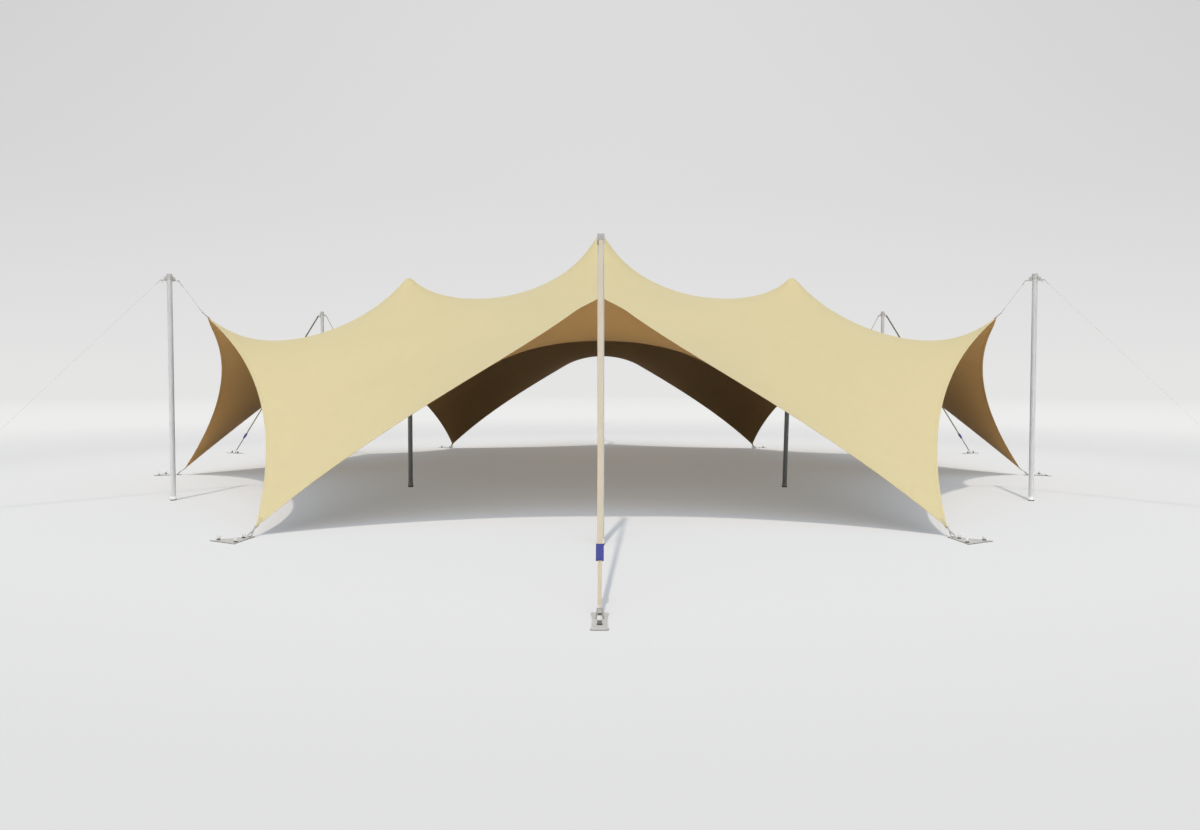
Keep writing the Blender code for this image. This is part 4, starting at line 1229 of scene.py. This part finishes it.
POINTS = {}
for i in sorted(keep):
    turn = round(math.degrees(math.atan2(P[i][0], -P[i][1])) / 30) * 30
    POINTS[180 if turn == -180 else turn] = i
BARS = {}
for deg, nm in SIDE_NAMES.items():
    rot = math.radians(deg - 90)
    part = Part([M_WEB, M_THREAD, M_WEB_PAINTED_SHADE, M_KEEPER], uv="strap")
    top_bar = (POLE_R + CROWN_X, SHACKLE_Z)
    low_bar = (GUY_ANCHOR_R[deg] + RING_APEX[0], RING_APEX[1])
    a, d, n, L = looped_strap(part, top_bar, low_bar, 0.0048, 0.005, GUY_W / 2, GUY_W_LOW / 2, GUY_T,
                              0.085, 0.080, change=(COVER_AT, GUY_W_LOW / 2), under=2, gather=0.0078)
    # keeper: a flat tab threaded on the shackle's leg, beside the strap
    tab = rounded([(-0.0315, -0.025, 0), (-0.0155, -0.025, 0), (-0.0155, 0.025, 0), (-0.0315, 0.025, 0)], 0.005, 5)
    kv, kf = plate([(q.x, q.y) for q in tab], -0.0015, 0.0015, 0.0004)
    part.add([(POLE_R + 0.086 + z, x, 2.902 + y) for x, y, z in kv], kf, 3)
    place("guy_webbing_" + nm, part.mesh("guy_webbing_" + nm, 50), (0, 0, 0), rot,
          replaces=["guy_strap_" + nm])

    # the sleeve over the ratchet: soft, fuller over the drum, gathered at both mouths
    mid = a + d * (L * COVER_AT)
    D, NN, Y = Vector((d[0], 0, d[1])), Vector((n[0], 0, n[1])), Vector((0, 1, 0))
    sleeve = Part([M_BLUE, M_THREAD_BLUE, M_BLUE_PAINTED_SHADE], uv="strap")
    rings = []
    prof = [(-0.500, 0.80, 0.30), (-0.500, 0.92, 0.46), (-0.492, 0.985, 0.60), (-0.46, 1.0, 0.66), (-0.40, 1.0, 0.74),
            (-0.28, 1.0, 0.90), (-0.12, 1.0, 1.0), (0.06, 0.995, 0.98), (0.22, 1.0, 0.86), (0.36, 1.0, 0.72),
            (0.46, 1.0, 0.64), (0.492, 0.985, 0.58), (0.500, 0.92, 0.44), (0.500, 0.80, 0.30)]
    inner = [(0.490, 0.76, 0.26), (0.30, 0.76, 0.22), (-0.30, 0.76, 0.22), (-0.490, 0.76, 0.26)]
    sides = 36
    V, U = [], []
    for s, fw, ft in prof + inner:
        c = Vector((mid[0], 0, mid[1])) + D * (s * COVER_L)
        for k in range(sides):
            t = 2 * math.pi * k / sides
            ct, st_ = math.cos(t), math.sin(t)
            y = math.copysign(abs(ct) ** 0.42, ct) * fw * COVER_W / 2
            z = math.copysign(abs(st_) ** 0.62, st_) * ft * COVER_T / 2
            z *= 1.0 + 0.05 * math.sin(3 * t + s * 9.0)
            V.append(c + Y * y + NN * z)
    m = len(prof) + len(inner)
    F, UV = [], []
    for k in range(m):
        k2 = (k + 1) % m
        for j in range(sides):
            j2 = (j + 1) % sides
            F.append((k * sides + j, k * sides + j2, k2 * sides + j2, k2 * sides + j))
            sa = (prof + inner)[k][0] * COVER_L
            sb = (prof + inner)[k2][0] * COVER_L
            u0, u1 = j * 0.0042, (j + 1) * 0.0042
            UV.append([(u0, sa), (u1, sa), (u1, sb), (u0, sb)])
    first = np.cross(np.array(V[F[5 * sides][1]] - V[F[5 * sides][0]]), np.array(V[F[5 * sides][2]] - V[F[5 * sides][0]]))
    centre = np.array(Vector((mid[0], 0, mid[1])))
    # faces on the sleeve's lower side take the darker blue: painted shade
    low = [2 if math.sin(2 * math.pi * (q % sides + 0.5) / sides) < -0.25 else 0 for q in range(len(F))]
    sleeve.add(V, F, low, UV, flip=bool(first @ (np.array(V[F[5 * sides][0]]) - centre) < 0))
    for s in (-0.455, 0.455):                        # stitched hem at each mouth
        loop = []
        for k in range(64):
            t = 2 * math.pi * k / 64
            ct, st_ = math.cos(t), math.sin(t)
            y = math.copysign(abs(ct) ** 0.42, ct) * COVER_W / 2 * 1.004
            z = math.copysign(abs(st_) ** 0.62, st_) * 0.66 * COVER_T / 2 * 1.02
            z *= 1.0 + 0.05 * math.sin(3 * t + s * 9.0)
            loop.append(Vector((mid[0], 0, mid[1])) + D * (s * COVER_L) + Y * y + NN * z)
        sleeve.add(*tube(loop, 0.0006, 6, closed=True), 1)
    ob = place("ratchet_sleeve_" + nm, sleeve.mesh("ratchet_sleeve_" + nm, 60), (0, 0, 0), rot,
               replaces=["ratchet_cover_" + nm])

    # tip strap, then a ring, then the webbing boot sewn over the sheet's tip
    tip = np.array([TIP_R, TIP_Z])
    cloth = np.array([math.hypot(*P[POINTS[deg]][:2]), P[POINTS[deg]][2]])
    bar = np.array([POLE_R - CROWN_X, SHACKLE_Z])
    dd = (tip - bar) / np.linalg.norm(tip - bar)
    upper = tip - dd * 0.0060                               # the ring's two bars
    ww = (cloth - upper) / np.linalg.norm(cloth - upper)
    lower = upper + ww * 0.0340
    BARS[deg] = tuple(lower)
    part = Part([M_WEB_GREY, M_THREAD, M_RING], uv="strap")
    looped_strap(part, tuple(bar), tuple(upper), 0.0048, 0.0026, 0.0125, 0.0125, 0.0018, 0.085, 0.075)
    ring_c = (upper + lower) / 2
    half_len, half_y, rr = np.linalg.norm(upper - lower) / 2, 0.0165, 0.008
    U3, Y3 = Vector((ww[0], 0, ww[1])), Vector((0, 1, 0))
    C3 = Vector((ring_c[0], 0, ring_c[1]))
    loop = rounded([C3 + U3 * half_len + Y3 * half_y, C3 - U3 * half_len + Y3 * half_y,
                    C3 - U3 * half_len - Y3 * half_y, C3 + U3 * half_len - Y3 * half_y], rr, 6)
    part.add(*tube(loop, 0.0026, 10, closed=True), 2)
    place("tip_webbing_" + nm, part.mesh("tip_webbing_" + nm, 50), (0, 0, 0), rot,
          replaces=["tip_strap_" + nm])


def folded_tab(name, deg, knot, bar, rod, half_w, length, t, mats, rows):
    """Webbing folded over a bar and sewn to both faces of the sheet at one of its points.

    bar is the bar's centre in the upright plane of the point; rows are stitch rows
    across and along, in parts of the half width and of the length.
    """
    a0, b0 = (int(c) for c in rc[knot])
    g = math.gcd(abs(a0), abs(b0))
    line = [idx[(a0 - k * a0 // g, b0 - k * b0 // g)] for k in range(8)]
    pts, nrm = P[line], N[line].copy()
    nrm[0] = nrm[1]
    run = np.concatenate([[0], np.cumsum(np.linalg.norm(np.diff(pts, axis=0), axis=1))])
    rad_dir = polar(1.0, deg)
    lateral = Vector((math.cos(math.radians(deg)), math.sin(math.radians(deg)), 0.0))
    B = Vector(rad_dir * bar[0] + np.array([0.0, 0.0, bar[1]]))

    def on(s, side, lift):
        q = np.array([np.interp(s, run, pts[:, c]) for c in range(3)])
        n = np.array([np.interp(s, run, nrm[:, c]) for c in range(3)])
        n /= np.linalg.norm(n)
        return Vector(q + n * side * lift), Vector(n)

    lift = SKIN / 2 + 0.0011 + t / 2 + 0.0005
    u = (B - Vector(pts[1])).normalized()
    n0 = Vector(nrm[0])
    n0 = (n0 - u * n0.dot(u)).normalized()
    r = rod + t / 2 + 0.0004
    centres = []
    for s in np.linspace(length, 0.010, 12):
        ease = min(1.0, s / 0.03)
        centres.append(on(s, 1, lift * ease + r * (1 - ease))[0])
    for k in range(13):
        a = math.pi * k / 12
        centres.append(B + n0 * (r * math.cos(a)) + u * (r * math.sin(a)))
    for s in np.linspace(0.010, length, 12):
        ease = min(1.0, s / 0.03)
        centres.append(on(s, -1, lift * ease + r * (1 - ease))[0])
    part = Part(mats, uv="strap")
    sec = [(-1.0, 0.0), (-0.97, -1.0), (-0.33, -1.0), (0.33, -1.0), (0.97, -1.0),
           (1.0, 0.0), (0.97, 1.0), (0.33, 1.0), (-0.33, 1.0), (-0.97, 1.0)]
    c, m = len(sec), len(centres)
    V, F, U, M, along = [], [], [], [], 0.0
    where = []
    for k in range(m):
        d = (centres[min(k + 1, m - 1)] - centres[max(k - 1, 0)]).normalized()
        n = d.cross(lateral).normalized()
        if k:
            along += (centres[k] - centres[k - 1]).length
        where.append(along)
        for x, z in sec:
            V.append(centres[k] + lateral * (x * half_w) + n * (z * t / 2))
    for k in range(m - 1):
        for j in range(c):
            j2 = (j + 1) % c
            F.append((k * c + j, k * c + j2, (k + 1) * c + j2, (k + 1) * c + j))
            ua, ub = sec[j][0] * half_w, sec[j2][0] * half_w
            U.append([(ua, where[k]), (ub, where[k]), (ub, where[k + 1]), (ua, where[k + 1])])
            M.append(0 if k < 24 or j in (0, 4, 5, 9) else 1)
    F += [tuple(reversed(range(c))), tuple((m - 1) * c + j for j in range(c))]
    U += [[(0.0, 0.0)] * c] * 2
    M += [0, 1]
    part.add(V, F, M, U, flip=True)
    for side in (1, -1):                             # stitches along both sides and across the end
        for x0, s0, x1, s1 in rows:
            n_st = max(2, int(math.hypot((x1 - x0) * half_w, (s1 - s0) * length) / 0.0036))
            for i in range(n_st):
                ends = []
                for f in ((i + 0.12) / n_st, (i + 0.88) / n_st):
                    s = (s0 + (s1 - s0) * f) * length
                    q, n = on(s, side, lift + t / 2 + 0.0002)
                    ends.append(q + lateral * ((x0 + (x1 - x0) * f) * half_w))
                mid_s = (ends[0] + ends[1]) / 2 + n * side * 0.0005
                part.add(*tube([ends[0], mid_s, ends[1]], 0.00045, 5), 2)
    return place(name, part.mesh(name, 50))


TAB_ROWS = [(-0.84, 0.34, -0.84, 0.95), (0.84, 0.34, 0.84, 0.95), (-0.84, 0.95, 0.84, 0.95), (-0.84, 0.34, 0.84, 0.34),
            (-0.84, 0.34, 0.84, 0.95), (0.84, 0.34, -0.84, 0.95)]
for deg, nm in SIDE_NAMES.items():
    folded_tab("tip_boot_" + nm, deg, POINTS[deg], BARS[deg], 0.0026, 0.0135, 0.040, 0.0014,
               [M_WEB_DARK, M_WEB_DARK, M_THREAD_DARK], TAB_ROWS)

# short webbing link from each corner ring up to the sheet's corner, and the tab it ends in
for deg, nm in CORNER_NAMES.items():
    part = Part([M_WEB_GREY, M_WEB_PAINTED_SHADE, M_STAKE_LOW_PAINTED_SHADE], uv="strap")
    low = (7.139, 0.050)
    high = (CORNER_R + 0.0100, CORNER_Z - 0.0040)
    looped_strap(part, high, low, 0.0026, 0.005, 0.0115, 0.0115, 0.0018, 0.034, 0.034, thread=None, under=1)
    U3 = Vector((CORNER_R - low[0], 0, CORNER_Z - low[1])).normalized()
    C3 = Vector((high[0], 0, high[1])) + U3 * 0.0055
    Y3 = Vector((0, 1, 0))
    loop = rounded([C3 + U3 * 0.006 + Y3 * 0.0225, C3 - U3 * 0.006 + Y3 * 0.0225,
                    C3 - U3 * 0.006 - Y3 * 0.0225, C3 + U3 * 0.006 - Y3 * 0.0225], 0.005, 5)
    part.add(*tube(loop, 0.0026, 10, closed=True), 2)
    shift = CORNER_SHIFT.get(deg, 0.0)
    part.v = [(x, y - shift * (x - low[0]) / (CORNER_R - low[0]), z) for x, y, z in part.v]
    place("corner_link_" + nm, part.mesh("corner_link_" + nm, 50), sideways(deg), math.radians(deg - 90))
    near_bar = C3 + U3 * 0.006
    folded_tab("corner_tab_" + nm, deg, POINTS[deg], (near_bar.x, near_bar.z), 0.0026, 0.0180, 0.105, 0.0016,
               [M_TAB_OUT, M_TAB_IN, M_THREAD], TAB_ROWS)

# ------------------------------------------------------------------ stage, light, camera
HORIZON = 0.785                     # radiance of the backdrop at the floor's far edge


def plain(name, z, mat):
    size = 900.0
    fm = bpy.data.meshes.new(name)
    fm.from_pydata([(-size, -size, 0), (size, -size, 0), (size, size, 0), (-size, size, 0)], [], [(0, 1, 2, 3)])
    fm.materials.append(mat)
    ob = bpy.data.objects.new(name, fm)
    ob.location = (0, 0, z)
    bpy.context.scene.collection.objects.link(ob)
    return ob


def lamp(name, energy, colour, angle, elevation, azimuth, receiver=None):
    """Sun-like lamp; azimuth 0 shines from the front, positive from the right."""
    data = bpy.data.lights.new(name, "SUN")
    data.energy, data.color, data.angle = energy, colour, math.radians(angle)
    ob = bpy.data.objects.new(name, data)
    bpy.context.scene.collection.objects.link(ob)
    e, t = math.radians(elevation), math.radians(azimuth)
    to_lamp = Vector((math.sin(t) * math.cos(e), -math.cos(t) * math.cos(e), math.sin(e)))
    ob.location = to_lamp * 20
    ob.rotation_euler = (-to_lamp).to_track_quat("-Z", "Y").to_euler()
    if receiver is not None:
        only = bpy.data.collections.new(name + "_receivers")
        only.objects.link(receiver)
        ob.light_linking.receiver_collection = only
    return ob


# the floor that shows: lit by its own pair of lamps, with a level of its own in the shade
floor_n = Nodes("studio_floor")
geo = floor_n.add("ShaderNodeNewGeometry")
sep = floor_n.add("ShaderNodeSeparateXYZ")
floor_n.link(geo.outputs["Position"], sep.inputs[0])
rad = floor_n.math("SQRT", floor_n.math("ADD", floor_n.math("MULTIPLY", sep.outputs[0], sep.outputs[0]),
                                        floor_n.math("MULTIPLY", sep.outputs[1], sep.outputs[1])))
near = floor_n.remap(rad, 9.0, 13.0, 1.0, 0.945, True)
far = floor_n.remap(rad, 12.0, 26.0, 0.0, 1.0, True)
far_col = floor_n.mix(floor_n.remap(rad, 28.0, 90.0, 0.0, 1.0, True), (0.845, 0.845, 0.838),
                      (HORIZON, HORIZON, HORIZON * 0.992))
FLOOR = 0.04
floor_n.set(Base_Color=floor_n.mix(near, (0, 0, 0), (FLOOR, FLOOR, FLOOR)))
floor_n.bsdf.inputs["Roughness"].default_value = 0.9
floor_n.bsdf.inputs["Specular IOR Level"].default_value = 0.0
floor_n.set(Emission_Color=floor_n.mix(near, (0, 0, 0), (0.262, 0.242, 0.212)))
floor_n.bsdf.inputs["Emission Strength"].default_value = 1.0
emit = floor_n.add("ShaderNodeEmission")
floor_n.link(far_col, emit.inputs["Color"])
mixs = floor_n.add("ShaderNodeMixShader")
floor_n.link(far, mixs.inputs[0])
floor_n.link(floor_n.bsdf.outputs[0], mixs.inputs[1])
floor_n.link(emit.outputs[0], mixs.inputs[2])
floor_n.link(mixs.outputs[0], floor_n.t.nodes["Material Output"].inputs["Surface"])
floor = plain("studio_floor", -0.0004, floor_n.mat)
floor.visible_diffuse = floor.visible_shadow = False

# the floor that throws light back up onto the tent
card_n = Nodes("studio_card")
c_geo = card_n.add("ShaderNodeNewGeometry")
c_sep = card_n.add("ShaderNodeSeparateXYZ")
card_n.link(c_geo.outputs["Position"], c_sep.inputs[0])
c_x = card_n.math("ABSOLUTE", c_sep.outputs[0])
beside = card_n.math("MULTIPLY", card_n.remap(c_x, 4.6, 5.8, 0.0, 1.0, True), card_n.remap(c_x, 7.9, 9.1, 1.0, 0.0, True))
ahead = card_n.math("MULTIPLY", card_n.remap(c_x, 4.6, 5.8, 1.0, 0.0, True),
                    card_n.remap(c_sep.outputs[1], -5.1, -3.9, 1.0, 0.0, True))
c_fac = card_n.math("ADD", card_n.math("MULTIPLY", beside, 1.0), card_n.math("MULTIPLY", ahead, 0.59))
card_n.set(Base_Color=card_n.mix(c_fac, (0.115, 0.115, 0.115), (0.33, 0.33, 0.33)))
card_n.bsdf.inputs["Roughness"].default_value = 1.0
card_n.bsdf.inputs["Specular IOR Level"].default_value = 0.0
card = plain("studio_card", -0.0009, card_n.mat)
card.visible_camera = card.visible_glossy = card.visible_transmission = False

world = bpy.data.worlds.new("studio")
bpy.context.scene.world = world
world.use_nodes = True
wt = world.node_tree
bg = wt.nodes["Background"]
tc = wt.nodes.new("ShaderNodeTexCoord")
sx = wt.nodes.new("ShaderNodeSeparateXYZ")
ramp = wt.nodes.new("ShaderNodeValToRGB")
wt.links.new(tc.outputs["Generated"], sx.inputs[0])
wt.links.new(sx.outputs[2], ramp.inputs[0])
el = ramp.color_ramp.elements
el[0].position, el[0].color = 0.0, (HORIZON, HORIZON, HORIZON * 0.992, 1.0)
el[1].position, el[1].color = 1.0, (0.66, 0.69, 0.72, 1.0)
for pos, v in ((0.07, 0.760), (0.20, 0.722), (0.38, 0.712), (0.5, 0.70)):
    e = el.new(pos)
    e.color = (v, v, v, 1.0)


def wmath(op, a, b):
    n = wt.nodes.new("ShaderNodeMath")
    n.operation = op
    for k, v in enumerate((a, b)):
        if isinstance(v, (int, float)):
            n.inputs[k].default_value = v
        else:
            wt.links.new(v, n.inputs[k])
    return n.outputs[0]


side_fall = wmath("SUBTRACT", 1.0, wmath("MULTIPLY", wmath("MULTIPLY", wmath("MULTIPLY", sx.outputs[0], sx.outputs[0]),
                                                           sx.outputs[2]), 1.05))
wt.links.new(ramp.outputs[0], bg.inputs["Color"])
wt.links.new(wmath("MAXIMUM", side_fall, 0.6), bg.inputs["Strength"])

lamp("key", 1.22, (1.0, 0.935, 0.86), 1.6, 60, -9)
lamp("key_floor", 24.5, (1.0, 0.906, 0.778), 1.6, 60, -9, floor)
lamp("soft_front", 28.7, (0.815, 0.885, 1.0), 56, 36, 0, floor)
lamp("soft_right", 7.94, (0.31, 0.62, 1.0), 56, 35, 50, floor)
lamp("soft_left", 7.94, (0.31, 0.62, 1.0), 56, 35, -50, floor)
lamp("soft_back", 2.05, (1.0, 0.80, 0.735), 56, 35, 180, floor)
lamp("key_card", 12.4, (1.0, 1.0, 0.985), 1.6, 60, -9, card)

cam_data = bpy.data.cameras.new("camera")
cam_data.sensor_fit = "HORIZONTAL"
cam_data.sensor_width = 36.0
cam_data.lens = 917.93 / 1200 * 36.0
cam_data.clip_end = 4000
cam = bpy.data.objects.new("camera", cam_data)
bpy.context.scene.collection.objects.link(cam)
cam.location = (0.0240, -15.462, 1.589)
cam.rotation_euler = (math.radians(90) - 0.03715, 0.0, 0.0036)
bpy.context.scene.camera = cam

scene = bpy.context.scene
scene.view_settings.view_transform = "Standard"
scene.view_settings.look = "None"

bpy.context.view_layer.update()
